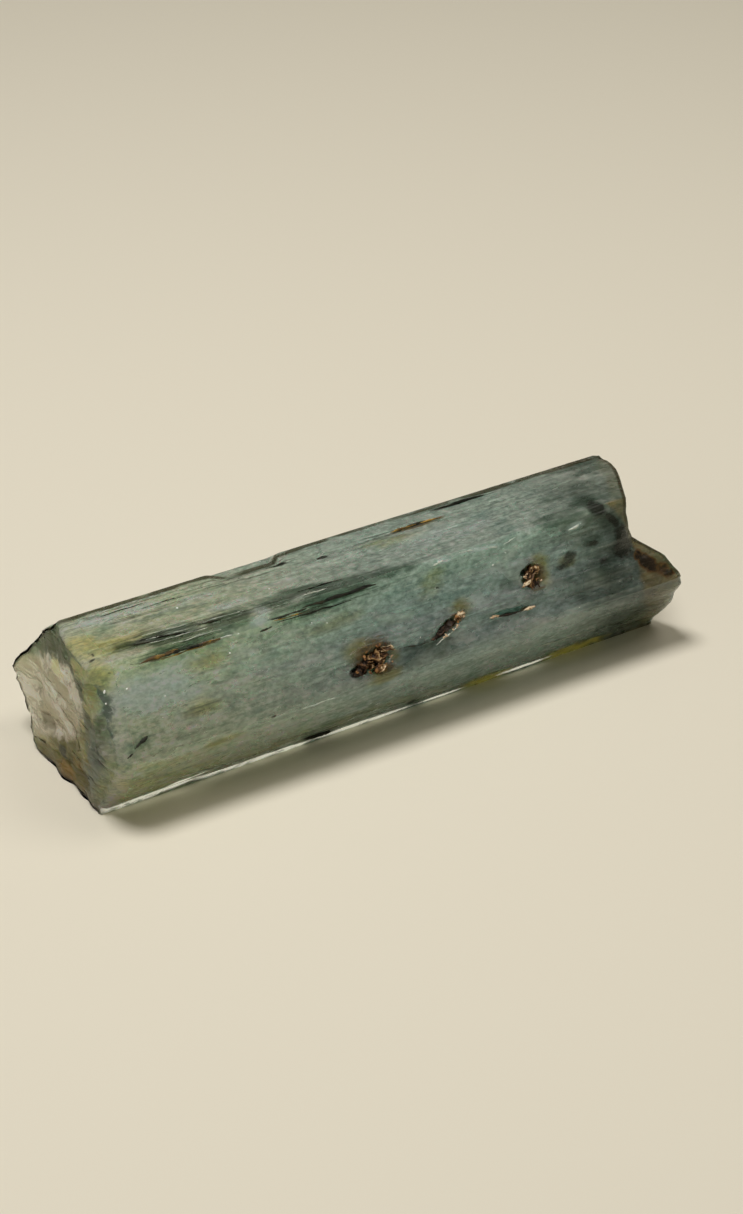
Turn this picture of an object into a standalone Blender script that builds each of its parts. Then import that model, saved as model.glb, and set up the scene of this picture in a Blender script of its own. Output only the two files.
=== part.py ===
"""Aquamarine crystal: one loose prism of beryl that lies on a side face.

The prism runs along X and rests on its bottom face at Z = 0. Its left end is etched and chipped along
one edge, its right end is broken into an upper lobe and a lower one that reaches further, a sliver is
missing from the rear top edge, and five weathered pits open on the front.
"""

import math

import bmesh
import bpy
from mathutils import Matrix, Vector, noise

MM = 0.001

# Corners of the cross-section as (y, z) in millimetres, anticlockwise as seen from +X: front bottom,
# rear bottom, rear middle, rear shoulder, rear top, front top, front middle.
SECTION = ((-4.6, 0.0), (4.2, 0.0), (7.6, 4.5), (5.1, 8.1), (1.5, 11.0), (-4.4, 11.15), (-7.6, 5.3))
BOTTOM_SIDE = 0
TOP_SIDE = 4
FRONT_SIDE = 5
LOWER_FRONT_SIDE = 6
REAR_MIDDLE = 2
REAR_SHOULDER = 3
SECTION_CENTRE = (0.0, 5.5)
EDGE_ROUNDING = 0.35

# Left end: a nearly flat face. Its front upright edge and its rear shoulder have flaked off, and its
# rear middle corner and its foot stand a little proud.
LEFT_X = -21.3
FLAKE_DEPTH = 0.75
FLAKE_WIDTH = 1.3
SHOULDER_FLAKE_DEPTH = 1.0
SHOULDER_FLAKE_WIDTH = 2.4
REAR_BULGE = 0.25
REAR_BULGE_WIDTH = 4.0
FOOT_BULGE = 0.35

# Right end: where the upper half stops at the front, how much further it runs at the rear, and how
# far the lower front lobe reaches past it at each height (z, reach).
RIGHT_X = 18.1
REAR_RUN = 2.1
REAR_RUN_FROM = -5.2
REAR_RUN_TO = 0.2
LOBE = ((0.0, 2.85), (1.0, 3.35), (2.2, 3.65), (3.6, 3.35), (4.4, 3.45), (5.6, 3.1), (7.0, 2.35),
        (7.9, 1.25), (8.6, 0.3), (9.2, 0.0), (10.2, 0.0), (11.2, 0.2))
LOBE_THICKNESS = 4.2
LOBE_SET_BACK = 0.45

# The sliver missing from the rear top edge: its stretch along X, its width and its depth.
SLIVER_X = (-10.4, -5.1)
SLIVER_WIDTH = 1.5
SLIVER_DEPTH = 0.45

# Pits on the front face: x, height above the front middle edge along the face, length, width, depth
# and turn in degrees.
PITS = (
    (-2.8, 1.45, 3.0, 2.1, 0.75, 12),
    (-4.1, 1.15, 1.1, 1.0, 0.65, 0),
    (3.1, 2.15, 2.9, 0.8, 0.55, 22),
    (9.8, 3.55, 1.4, 1.6, 0.6, 10),
    (7.9, 1.7, 3.0, 0.4, 0.35, -4),
)
PIT_RAGGEDNESS = 0.22

# Mesh density: steps along each side of the section, rows along the length, rings on each end, and how
# far the rows crowd towards the ends, from 0 to 1.
STEPS_PER_SIDE = 8
ROWS = 36
RINGS = 8
ROW_CROWDING = 0.5

CRYSTAL_COLOUR = (0.33, 0.46, 0.45, 1.0)
CRYSTAL_ROUGHNESS = 0.28
CRYSTAL_TRANSMISSION = 0.8
BERYL_IOR = 1.58


def clear_scene():
    for obj in list(bpy.data.objects):
        bpy.data.objects.remove(obj, do_unlink=True)


def new_collection(name):
    collection = bpy.data.collections.new(name)
    bpy.context.scene.collection.children.link(collection)
    return collection


def smooth(value):
    """0 below 0, 1 above 1 and a soft rise between."""
    value = min(max(value, 0.0), 1.0)
    return value * value * (3.0 - 2.0 * value)


def interpolate(pairs, at):
    """The value at a place in a list of (place, value), held flat beyond its ends."""
    if at <= pairs[0][0]:
        return pairs[0][1]
    for (start, first), (end, second) in zip(pairs, pairs[1:]):
        if at <= end:
            return first + (second - first) * (at - start) / (end - start)
    return pairs[-1][1]


def side_ends(side):
    return Vector(SECTION[side]), Vector(SECTION[(side + 1) % len(SECTION)])


def outline(place):
    """The point of the sharp-cornered section at a place counted in sides."""
    side = math.floor(place) % len(SECTION)
    start, end = side_ends(side)
    return start.lerp(end, place - math.floor(place))


def rounded_outline(place):
    """The section's point with its corners eased by averaging it with its neighbours."""
    start, end = side_ends(math.floor(place) % len(SECTION))
    step = EDGE_ROUNDING / (end - start).length
    return (outline(place - step) + 2.0 * outline(place) + outline(place + step)) / 4.0


def distance_to_side(side, point):
    """How far inside a side of the section a point lies."""
    start, end = side_ends(side)
    along = (end - start).normalized()
    return (point - start).dot(Vector((-along.y, along.x)))


def roughness_at(point, size, seed):
    """Irregular relief between about -1 and 1 over the section, with bumps of the given size."""
    return noise.noise(Vector((point.x / size, point.y / size, seed)))


def near_corner(corner, point, width):
    """1 at a corner of the section, falling softly to 0 at the given distance."""
    return smooth(1.0 - (point - Vector(SECTION[corner])).length / width)


def left_end(point):
    """X of the left end at a point (y, z) of the section."""
    flake = FLAKE_DEPTH * smooth(1.0 - distance_to_side(FRONT_SIDE, point) / FLAKE_WIDTH)
    flake *= smooth(point.y / 3.0)
    shoulder = SHOULDER_FLAKE_DEPTH * near_corner(REAR_SHOULDER, point, SHOULDER_FLAKE_WIDTH)
    bulge = REAR_BULGE * near_corner(REAR_MIDDLE, point, REAR_BULGE_WIDTH)
    foot = FOOT_BULGE * smooth((point.x + 1.0) / 1.5) * (1.0 - smooth(point.y / 4.0))
    relief = 0.18 * roughness_at(point, 2.6, 3.0) + 0.08 * roughness_at(point, 1.1, 8.0)
    return LEFT_X + flake + shoulder - bulge - foot + relief


def right_end(point):
    """X of the right end at a point (y, z) of the section."""
    rear = REAR_RUN * smooth((point.x - REAR_RUN_FROM) / (REAR_RUN_TO - REAR_RUN_FROM))
    depth = min(distance_to_side(FRONT_SIDE, point), distance_to_side(LOWER_FRONT_SIDE, point))
    lobe = interpolate(LOBE, point.y) * smooth(1.0 - depth / LOBE_THICKNESS)
    inside = smooth(min(distance_to_side(side, point) for side in range(len(SECTION))) / 1.5)
    relief = (0.7 * roughness_at(point, 3.4, 5.0) + 0.3 * roughness_at(point, 1.3, 1.0)) * inside
    return RIGHT_X + rear + lobe + relief


def inset_at(place, x):
    """How far the side lies inside the plain prism at a place of the outline."""
    side = math.floor(place) % len(SECTION)
    share = place - math.floor(place)
    start, end = side_ends(side)
    length = (end - start).length
    if side == BOTTOM_SIDE:
        return 0.0
    from_rear_top = min(abs(place - TOP_SIDE), 1.0) * length
    stretch = smooth((x - SLIVER_X[0]) / 1.6) * smooth((SLIVER_X[1] - x) / 0.5)
    sliver = SLIVER_DEPTH * stretch * smooth(1.6 * (1.0 - from_rear_top / SLIVER_WIDTH))
    inner = smooth(4.0 * share) * smooth(4.0 * (1.0 - share))
    waves = 0.07 * (1.0 + noise.noise(Vector((x / 14.0, share * length / 1.6, side * 7.0)))) * inner
    set_back = 0.0
    if side == FRONT_SIDE:
        set_back = LOBE_SET_BACK * smooth((x - RIGHT_X + 1.2) / 1.6) * smooth(2.0 * (1.0 - share))
        set_back *= smooth(4.0 * (share - 0.2))
    return sliver + waves + set_back


def outward(place):
    start, end = side_ends(math.floor(place) % len(SECTION))
    along = (end - start).normalized()
    return Vector((along.y, -along.x))


def on_crystal(position):
    """Carries a point of the unit cylinder onto the crystal, in millimetres."""
    radius = math.hypot(position.y, position.z)
    turn = (math.atan2(position.z, position.y) / math.tau) % 1.0
    place = round(turn * len(SECTION) * STEPS_PER_SIDE) / STEPS_PER_SIDE
    centre = Vector(SECTION_CENTRE)
    point = centre + (rounded_outline(place) - centre) * radius
    left, right = left_end(point), right_end(point)
    x = left + (right - left) * position.x
    point = point - outward(place) * inset_at(place, x) * radius
    return Vector((x, point.x, point.y))


def row_share(row):
    """The place of a row along the length, from 0 to 1."""
    even = row / ROWS
    crowded = 0.5 - 0.5 * math.cos(math.pi * even)
    return even + ROW_CROWDING * (crowded - even)


def make_crystal(collection):
    """A unit cylinder with ringed ends, spun from its profile and then shaped into the crystal."""
    bm = bmesh.new()
    rings = [(0.0, ring / RINGS) for ring in range(RINGS)]
    rows = [(row_share(row), 1.0) for row in range(ROWS + 1)]
    profile = rings + rows + [(1.0, radius) for _, radius in reversed(rings)]
    verts = [bm.verts.new((x, radius, 0.0)) for x, radius in profile]
    edges = [bm.edges.new(pair) for pair in zip(verts, verts[1:])]
    bmesh.ops.spin(bm, geom=verts + edges, cent=(0, 0, 0), axis=(1, 0, 0), angle=math.tau,
                   steps=STEPS_PER_SIDE * len(SECTION), use_merge=True)
    bmesh.ops.remove_doubles(bm, verts=bm.verts, dist=1e-5)
    for vert in bm.verts:
        vert.co = on_crystal(vert.co) * MM
    bmesh.ops.recalc_face_normals(bm, faces=bm.faces)
    mesh = bpy.data.meshes.new("crystal")
    bm.to_mesh(mesh)
    bm.free()
    mesh.shade_smooth()
    mesh.set_sharp_from_angle(angle=math.radians(28))
    crystal = bpy.data.objects.new("crystal", mesh)
    collection.objects.link(crystal)
    return crystal


def make_pit_cutter(number, pit, collection):
    """A ragged ellipsoid that stands half out of the front face."""
    x, height, length, width, depth, turn = pit
    start, end = side_ends(FRONT_SIDE)
    up = (start - end).normalized()
    out = outward(FRONT_SIDE)
    bm = bmesh.new()
    bmesh.ops.create_icosphere(bm, subdivisions=2, radius=1.0)
    for vert in bm.verts:
        ragged = 1.0 + PIT_RAGGEDNESS * noise.noise(vert.co * 2.1 + Vector((0, 0, 5.0 * number)))
        vert.co *= ragged
    bmesh.ops.scale(bm, vec=Vector((length / 2, width / 2, depth)) * MM, verts=bm.verts)
    bmesh.ops.rotate(bm, matrix=Matrix.Rotation(math.radians(turn), 3, "Z"), verts=bm.verts)
    mesh = bpy.data.meshes.new(f"pit_cutter_{number}")
    bm.to_mesh(mesh)
    bm.free()
    cutter = bpy.data.objects.new(mesh.name, mesh)
    foot = end + up * height
    facing = Matrix(((1, 0, 0), (0, up.x, out.x), (0, up.y, out.y))).to_4x4()
    cutter.matrix_world = Matrix.Translation(Vector((x, foot.x, foot.y)) * MM) @ facing
    cutter.hide_render = True
    cutter.display_type = "WIRE"
    collection.objects.link(cutter)
    return cutter


def crystal_material():
    material = bpy.data.materials.new("pale_blue_green_beryl")
    material.use_nodes = True
    shader = material.node_tree.nodes["Principled BSDF"]
    shader.inputs["Base Color"].default_value = CRYSTAL_COLOUR
    shader.inputs["Roughness"].default_value = CRYSTAL_ROUGHNESS
    shader.inputs["Metallic"].default_value = 0.0
    shader.inputs["Transmission Weight"].default_value = CRYSTAL_TRANSMISSION
    shader.inputs["IOR"].default_value = BERYL_IOR
    return material


def main():
    clear_scene()
    bodies = new_collection("aquamarine_crystal")
    cutters = new_collection("cutters")
    crystal = make_crystal(bodies)
    crystal.data.materials.append(crystal_material())
    for number, pit in enumerate(PITS):
        cut = crystal.modifiers.new(f"pit_{number}", "BOOLEAN")
        cut.operation = "DIFFERENCE"
        cut.object = make_pit_cutter(number, pit, cutters)


main()
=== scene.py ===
"""Aquamarine crystal: the looks of a loose, etched prism of beryl with rusty pits, on a pale floor."""

import math
import random

import bpy
import numpy as np
from bpy.props import FloatProperty, FloatVectorProperty, PointerProperty
from bpy.types import Operator, Panel, PropertyGroup
from mathutils import Matrix, Vector, noise


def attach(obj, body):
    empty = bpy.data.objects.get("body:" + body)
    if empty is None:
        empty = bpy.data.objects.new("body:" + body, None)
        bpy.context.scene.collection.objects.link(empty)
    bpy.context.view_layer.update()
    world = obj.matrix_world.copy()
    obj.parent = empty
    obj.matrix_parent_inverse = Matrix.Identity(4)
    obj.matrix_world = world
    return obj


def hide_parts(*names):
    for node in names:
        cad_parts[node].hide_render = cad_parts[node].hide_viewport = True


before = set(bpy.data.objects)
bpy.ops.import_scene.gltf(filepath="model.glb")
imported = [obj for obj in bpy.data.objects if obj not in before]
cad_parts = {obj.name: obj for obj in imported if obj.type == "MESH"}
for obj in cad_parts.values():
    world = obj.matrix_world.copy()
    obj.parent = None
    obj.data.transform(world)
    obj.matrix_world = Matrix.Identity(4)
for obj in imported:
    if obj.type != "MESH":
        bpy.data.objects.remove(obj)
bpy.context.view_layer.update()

bl_info = {
    "name": "Aquamarine Crystal",
    "version": (1, 0, 0),
    "blender": (4, 5, 0),
    "location": "View3D > Sidebar > Crystal",
    "description": "Builds an etched aquamarine prism with rusty pits, dark tubes and pale threads",
    "category": "Add Mesh",
}

BODY = "root"
NODE = "crystal"
MM = 0.001

# ---------------------------------------------------------------- the prism's shape, in millimetres

# Corners of the cross-section as (y, z), anticlockwise as seen from +X, the mesh steps of the side
# that starts at each, and how far each corner is rounded along its sides.
CORNERS = np.array(
    [(-4.6, 0.0), (4.2, 0.0), (7.6, 4.5), (5.1, 8.1), (1.5, 11.0), (-4.4, 11.15), (-7.6, 5.3)]
)
SIDE_STEPS = (34, 36, 34, 36, 84, 98, 72)
ROUNDING = (0.35, 0.35, 0.5, 0.5, 0.35, 0.7, 1.3)
BOTTOM, REAR_LOWER, REAR_BEVEL, REAR_UPPER, TOP, FRONT, LOWER_FRONT = range(7)
FRONT_FOOT_CORNER, REAR_MIDDLE_CORNER, REAR_SHOULDER_CORNER, REAR_TOP_CORNER = 0, 2, 3, 4
CENTRE = np.array((0.0, 5.5))

# The left end: flakes along its front edges, chips at the rear corners, a hollow and two bulges.
LEFT_X = -21.3
FLAKE_DEPTH = 0.6
FLAKE_WIDTH = 1.3
FLAKE_STEPS = 3.0
FLAKE_ABOVE = 3.0
FLAKE_BELOW = 11.3
FLAKE_FADE = 2.5
LOWER_FLAKE = 0.75
SHOULDER_FLAKE_DEPTH = 1.0
SHOULDER_FLAKE_WIDTH = 3.6
TOP_CHIP_DEPTH = 0.5
TOP_CHIP_WIDTH = 3.2
HOLLOW = (2.4, 2.9)
HOLLOW_SIZE = (1.2, 0.9)
HOLLOW_DEPTH = 0.35
REAR_BULGE = 0.25
REAR_BULGE_WIDTH = 4.0
FOOT_BULGE = 0.35
FOOT_BULGE_WIDTH = 2.6

# How far the chips of the front edges reach at heights above the front middle edge, and their depth.
CHIP_HEIGHTS = (0.8, 2.1, 4.2, 5.4)
CHIP_REACHES = (-21.1, -20.4, -19.9, -20.3)
CHIP_DEPTH = 0.26
CHIP_SWING = 0.22
CORNER_BLEND = 1.2
# Wear of the rims of both ends, and of the front rim of the left one.
RIM_WEAR = 0.12
FRONT_RIM_WEAR = 0.30
# Where the worn left end begins and about how far it lies under the faces.
WORN_END_X = -20.2
WORN_END_DEPTH = 0.35

# The right end: an upper stump, and a lobe whose reach beyond it follows the height.
RIGHT_X = 18.1
REAR_RUN = 2.1
REAR_RUN_FROM = -5.2
REAR_RUN_TO = 0.2
LOBE_HEIGHTS = (0.0, 1.0, 2.2, 3.6, 4.4, 5.6, 7.0, 7.9, 8.6, 9.2, 10.2, 11.2)
LOBE_REACHES = (2.85, 3.35, 3.65, 3.35, 3.45, 3.1, 2.35, 1.25, 0.3, 0.0, 0.0, 0.2)
LOBE_THICKNESS = 4.2
LOBE_SET_BACK = 0.45

# A long sliver missing from the rear top edge.
SLIVER_FROM = -10.4
SLIVER_TO = -5.1
SLIVER_WIDTH = 1.5
SLIVER_DEPTH = 0.45

# Pits on the front face: x, height above the front middle edge, length, width, depth, turn in degrees.
PITS = (
    (-2.6, 1.45, 2.4, 1.7, 0.45, 12), (-3.8, 1.1, 0.9, 0.8, 0.4, 0), (3.1, 2.15, 2.6, 0.7, 0.4, 22),
    (9.8, 3.55, 1.3, 1.5, 0.45, 10), (7.9, 1.7, 3.0, 0.4, 0.35, -4),
)

# Layers of noise: seed, amount and the size of the bumps in two directions, in millimetres.
FLAKE_OUTLINE = ((1, 0.35, 0.9, 0.9), (2, 0.15, 0.35, 0.35))
LEFT_SWELLS = ((0, 0.18, 2.6, 2.6),)
LEFT_RIDGES = ((3, 0.30, 2.0, 1.1), (4, 0.16, 0.8, 0.45))
RIGHT_SWELLS = ((5, 0.7, 3.4, 3.4), (6, 0.3, 1.3, 1.3))
RIGHT_RIDGES = ((7, 0.12, 0.6, 0.6),)
PIT_OUTLINE = ((8, 0.35, 0.7, 0.35), (9, 0.15, 0.3, 0.2))
# Relief along the sides: amount, length and width of the waves in millimetres, and part of the seed.
FINE_GROOVES = (0.020, 9.0, 0.16, 0.0)
WIDE_GROOVES = (0.045, 13.0, 0.45, 1.3)
TIERS = (5.0, 30.0, 1.1, 2.6)
ETCHING = (0.012, 0.7, 0.5, 3.9)
TIER_DEPTH = 0.030

# The mesh of the body: rings of points on each end and along the sides.
END_RINGS = 34
BODY_ROWS = 170
BODY_RINGS = BODY_ROWS + 2 * END_RINGS

SIDE_COUNT = len(CORNERS)
SIDE_VECTORS = np.roll(CORNERS, -1, axis=0) - CORNERS
SIDE_LENGTHS = np.hypot(SIDE_VECTORS[:, 0], SIDE_VECTORS[:, 1])
SIDE_ALONG = SIDE_VECTORS / SIDE_LENGTHS[:, None]
SIDE_OUT = np.stack([SIDE_ALONG[:, 1], -SIDE_ALONG[:, 0]], axis=1)
STEP_STARTS = np.concatenate([[0], np.cumsum(SIDE_STEPS)])
ROUND_OFF = np.array(ROUNDING)
# Weights of the outline itself and of places at shares of the rounding on either side of it.
OUTLINE_WEIGHT = 0.34
NEIGHBOUR_WEIGHTS = ((0.45, 0.19), (0.9, 0.14))
# Further than anything on the crystal.
FAR = 99.0


def smooth(values):
    """0 below 0, 1 above 1 and a soft rise between."""
    values = np.clip(values, 0.0, 1.0)
    return values * values * (3.0 - 2.0 * values)


def stacked(*columns):
    return np.stack(np.broadcast_arrays(*columns), axis=1)


def relief(seed, *columns):
    """Gradient noise, about -1 to 1, at places whose columns are already in bump sizes."""
    offset = 13.7 * seed
    points = stacked(*columns, offset) if len(columns) == 2 else stacked(*columns)
    return np.array([noise.noise((a + offset, b, c)) for a, b, c in points.tolist()])


def line_relief(seed, run):
    """Gradient noise that changes along one direction only."""
    return relief(seed, run, run * 0.0)


def layered(rows, first, second, folded=False):
    """The sum of layers of noise, which are turned into ridges where they are folded."""
    total = 0.0
    for seed, amount, length, width in rows:
        waves = relief(seed, first / length, second / width)
        total = total + amount * (np.abs(waves) if folded else waves)
    return total


def stepped(values):
    """Values turned into flights of soft steps, one step high each."""
    return np.floor(values) + smooth(values - np.floor(values))


def outline(place):
    """Points of the sharp-cornered section at places counted in sides."""
    side = np.floor(place).astype(int) % SIDE_COUNT
    share = (place - np.floor(place))[:, None]
    return CORNERS[side] + SIDE_VECTORS[side] * share


def rounded_outline(place):
    """Points of the section with its corners rounded off."""
    side = np.floor(place).astype(int) % SIDE_COUNT
    share = smooth(place - np.floor(place))
    reach = ROUND_OFF[side] * (1.0 - share) + ROUND_OFF[(side + 1) % SIDE_COUNT] * share
    step = reach / SIDE_LENGTHS[side]
    points = OUTLINE_WEIGHT * outline(place)
    for part, weight in NEIGHBOUR_WEIGHTS:
        points += weight * (outline(place - part * step) + outline(place + part * step))
    return points


def inside_side(side, points):
    """How far inside a side of the section each point lies."""
    return (points - CORNERS[side]) @ -SIDE_OUT[side]


def near_corner(corner, points, width):
    """1 at a corner of the section and 0 beyond a width from it."""
    return smooth(1.0 - np.hypot(*(points - CORNERS[corner]).T) / width)


def left_end(points):
    """X of the left end at points (y, z): a nearly flat face with chipped front edges."""
    y, z = points.T
    ragged = layered(FLAKE_OUTLINE, y, z)
    front = smooth(1.0 - (inside_side(FRONT, points) + ragged) / FLAKE_WIDTH)
    front *= smooth(z / FLAKE_ABOVE) * smooth((FLAKE_BELOW - z) / FLAKE_FADE)
    lower = smooth(1.0 - (inside_side(LOWER_FRONT, points) + ragged) / FLAKE_WIDTH)
    steps = FLAKE_STEPS * np.maximum(front, LOWER_FLAKE * lower)
    flake = FLAKE_DEPTH * (stepped(steps) / FLAKE_STEPS)
    shoulder = SHOULDER_FLAKE_DEPTH * near_corner(REAR_SHOULDER_CORNER, points, SHOULDER_FLAKE_WIDTH)
    shoulder += TOP_CHIP_DEPTH * near_corner(REAR_TOP_CORNER, points, TOP_CHIP_WIDTH)
    hollow = HOLLOW_DEPTH * smooth(1.0 - np.hypot(*((points - HOLLOW) / HOLLOW_SIZE).T))
    bulge = REAR_BULGE * near_corner(REAR_MIDDLE_CORNER, points, REAR_BULGE_WIDTH)
    foot = FOOT_BULGE * smooth((y + 1.0) / 1.5) * (1.0 - smooth(z / 4.0))
    foot += FOOT_BULGE * near_corner(FRONT_FOOT_CORNER, points, FOOT_BULGE_WIDTH)
    swells, ridges = layered(LEFT_SWELLS, y, z), layered(LEFT_RIDGES, y, z, folded=True)
    return LEFT_X + flake + shoulder + hollow - bulge - foot + swells + ridges


def right_end(points):
    """X of the right end at points (y, z): an upper stump and a lower front lobe."""
    y, z = points.T
    rear = REAR_RUN * smooth((y - REAR_RUN_FROM) / (REAR_RUN_TO - REAR_RUN_FROM))
    depth = np.minimum(inside_side(FRONT, points), inside_side(LOWER_FRONT, points))
    lobe = np.interp(z, LOBE_HEIGHTS, LOBE_REACHES) * smooth(1.0 - depth / LOBE_THICKNESS)
    nearest = np.min([inside_side(side, points) for side in range(SIDE_COUNT)], axis=0)
    uneven = layered(RIGHT_SWELLS, y, z) + layered(RIGHT_RIDGES, y, z, folded=True)
    return RIGHT_X + rear + lobe + uneven * smooth(nearest / 1.5)


def pit_depth(side, x, up):
    """How deep the pits are cut at places on the front face, in millimetres."""
    depth = np.zeros_like(x)
    rim = layered(PIT_OUTLINE, x, up)
    for pit_x, height, length, width, deep, turn in PITS:
        turn = math.radians(turn)
        across, along = up - height, x - pit_x
        first = (along * math.cos(turn) + across * math.sin(turn)) / (length / 2)
        second = (across * math.cos(turn) - along * math.sin(turn)) / (width / 2)
        reach = np.hypot(first, second) + rim
        depth = np.maximum(depth, deep * smooth((1.05 - reach) / 0.45))
    return np.where(side == FRONT, depth, 0.0)


def grooves(side, x, up):
    """Fine grooves and low steps that run the length of each side, in millimetres of depth."""

    def waves(amount, length, width, seed):
        return amount * relief(0, x / length, up / width, 20 + 7.0 * side + seed)

    cut = np.abs(waves(*FINE_GROOVES)) + np.abs(waves(*WIDE_GROOVES))
    tiers = waves(*TIERS)
    rise = smooth((tiers - np.floor(tiers) - 0.8) / 0.2)
    steps = TIER_DEPTH * (np.floor(tiers) + rise + 3.0)
    return np.maximum(cut + steps + waves(*ETCHING), 0.0)


def above_front_edge(side, share):
    """Height above the front middle edge on the front face, and below it, negative, on the next."""
    run = share * SIDE_LENGTHS[side]
    return np.where(side == FRONT, SIDE_LENGTHS[FRONT] - run, -run)


def chip_band(side, share, x):
    """Where the front edges of the left end are chipped."""
    up = above_front_edge(side, share)
    ragged = 0.45 * line_relief(10, up / 0.9) + 0.25 * relief(13, x / 0.4, up / 0.4)
    reach = np.interp(up, CHIP_HEIGHTS, CHIP_REACHES)
    below_top = smooth((SIDE_LENGTHS[FRONT] - 0.9 - up) / 0.8)
    front = (side == FRONT) | (side == LOWER_FRONT)
    return smooth((reach + ragged - x) / 0.5) * below_top * front


def end_wear(side, share, from_left, from_right):
    """How far the rims of both ends are worn away, most of all along the front of the left one."""
    worn = RIM_WEAR * (smooth(1.0 - from_left / 0.35) + smooth(1.0 - from_right / 0.5))
    to_top, to_foot = share * SIDE_LENGTHS[side], (1.0 - share) * SIDE_LENGTHS[side]
    front = (side == FRONT) * smooth(to_top / 1.5) + (side == LOWER_FRONT) * smooth(to_foot / 1.5)
    return worn + FRONT_RIM_WEAR * smooth(1.0 - from_left / 1.1) * front


def outward(side, share):
    """Directions out of the sides, turned towards the neighbour's near each corner."""
    length = SIDE_LENGTHS[side]
    before = 0.5 * smooth(1.0 - share * length / CORNER_BLEND)[:, None]
    after = 0.5 * smooth(1.0 - (1.0 - share) * length / CORNER_BLEND)[:, None]
    out = SIDE_OUT[side] * (1.0 - before - after)
    out = out + SIDE_OUT[side - 1] * before + SIDE_OUT[(side + 1) % SIDE_COUNT] * after
    return out / np.hypot(*out.T)[:, None]


def inset(side, share, x):
    """How far each place on the sides lies inside the plain prism."""
    length = SIDE_LENGTHS[side]
    up = length - share * length
    from_rear_top = np.where(side == TOP, share * length, np.where(side == REAR_UPPER, up, FAR))
    stretch = smooth((x - SLIVER_FROM) / 1.6) * smooth((SLIVER_TO - x) / 0.5)
    sliver = SLIVER_DEPTH * stretch * smooth(1.6 * (1.0 - from_rear_top / SLIVER_WIDTH))
    set_back = LOBE_SET_BACK * smooth((x - RIGHT_X + 1.2) / 1.6) * smooth(2.0 * (1.0 - share))
    set_back *= smooth(4.0 * (share - 0.2)) * (side == FRONT)
    at_corner = smooth(np.minimum(share, 1.0 - share) * length / 0.25)
    rough = grooves(side, x, up) * np.where(side == BOTTOM, 0.0, 0.4 + 0.6 * at_corner)
    bites = CHIP_DEPTH + CHIP_SWING * relief(12, x / 0.5, above_front_edge(side, share) / 0.5)
    chips = chip_band(side, share, x) * bites
    return sliver + set_back + rough + chips + pit_depth(side, x, up)


def row_shares():
    """Shares of the length at which the rows lie: closer together at the pits and the ends."""
    x = np.linspace(LEFT_X, RIGHT_X + REAR_RUN, 2000)
    crowding = np.ones_like(x)
    for pit_x, _height, length, _width, _deep, _turn in PITS:
        crowding += 0.7 * (np.abs(x - pit_x) < length * 0.6)
    crowding += 1.2 * smooth(1.0 - (x - x[0]) / 1.8) + 1.2 * smooth(1.0 - (x[-1] - x) / 4.5)
    place = np.concatenate([[0.0], np.cumsum((crowding[1:] + crowding[:-1]) / 2)])
    place /= place[-1]
    stations = np.interp(np.linspace(0.0, 1.0, BODY_ROWS + 1), place, x)
    return (stations - x[0]) / (x[-1] - x[0])


# ---------------------------------------------------------------- marks on the faces
# Each mark, by side: x, height above the side's lower edge, length, width, and where they aren't 1
# and 0, its strength and its turn in degrees.

RUST = {
    TOP: (
        (4.6, 4.15, 3.6, 0.5, 0.85),
    ),
    FRONT: (
        (-2.75, 1.75, 2.8, 1.9, 1.0, 20), (-2.1, 0.75, 1.6, 0.9, 0.8), (3.6, 2.35, 2.0, 0.7, 0.9, 22),
        (10.1, 3.5, 1.5, 1.8), (9.0, 1.5, 1.2, 0.35, 0.7), (-16.9, 5.98, 2.0, 0.3, 0.9),
        (-13.3, 5.9, 1.6, 0.25, 0.7, -2),
    ),
}
OLIVE = {
    TOP: (
        (-20.9, 2.4, 2.6, 2.6), (-19.2, 1.6, 4.6, 1.6, 0.8), (2.0, 3.4, 4.5, 1.2, 0.5),
    ),
    FRONT: (
        (-20.9, 5.8, 2.6, 2.6, 0.75), (-13.7, 4.75, 2.8, 1.1, 0.7), (-14.6, 2.15, 2.4, 1.2, 0.65),
        (-5.2, 4.6, 4.6, 0.9, 0.6), (-3.6, 2.5, 2.2, 1.2), (-2.4, 0.1, 2.0, 1.1),
        (4.2, 2.95, 1.7, 1.2, 0.9), (10.7, 3.6, 1.3, 2.2), (2.6, 5.2, 2.6, 1.4, 0.6, 30),
    ),
    LOWER_FRONT: (
        (-17.0, 2.6, 10.0, 5.0, 0.6), (-13.5, 5.1, 3.4, 0.8, 0.7), (-5.0, 1.6, 18.0, 2.4, 0.5),
        (7.2, 0.5, 3.4, 1.5), (14.3, 0.4, 4.6, 1.6), (19.5, 2.0, 5.0, 3.2, 0.7),
    ),
}
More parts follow.
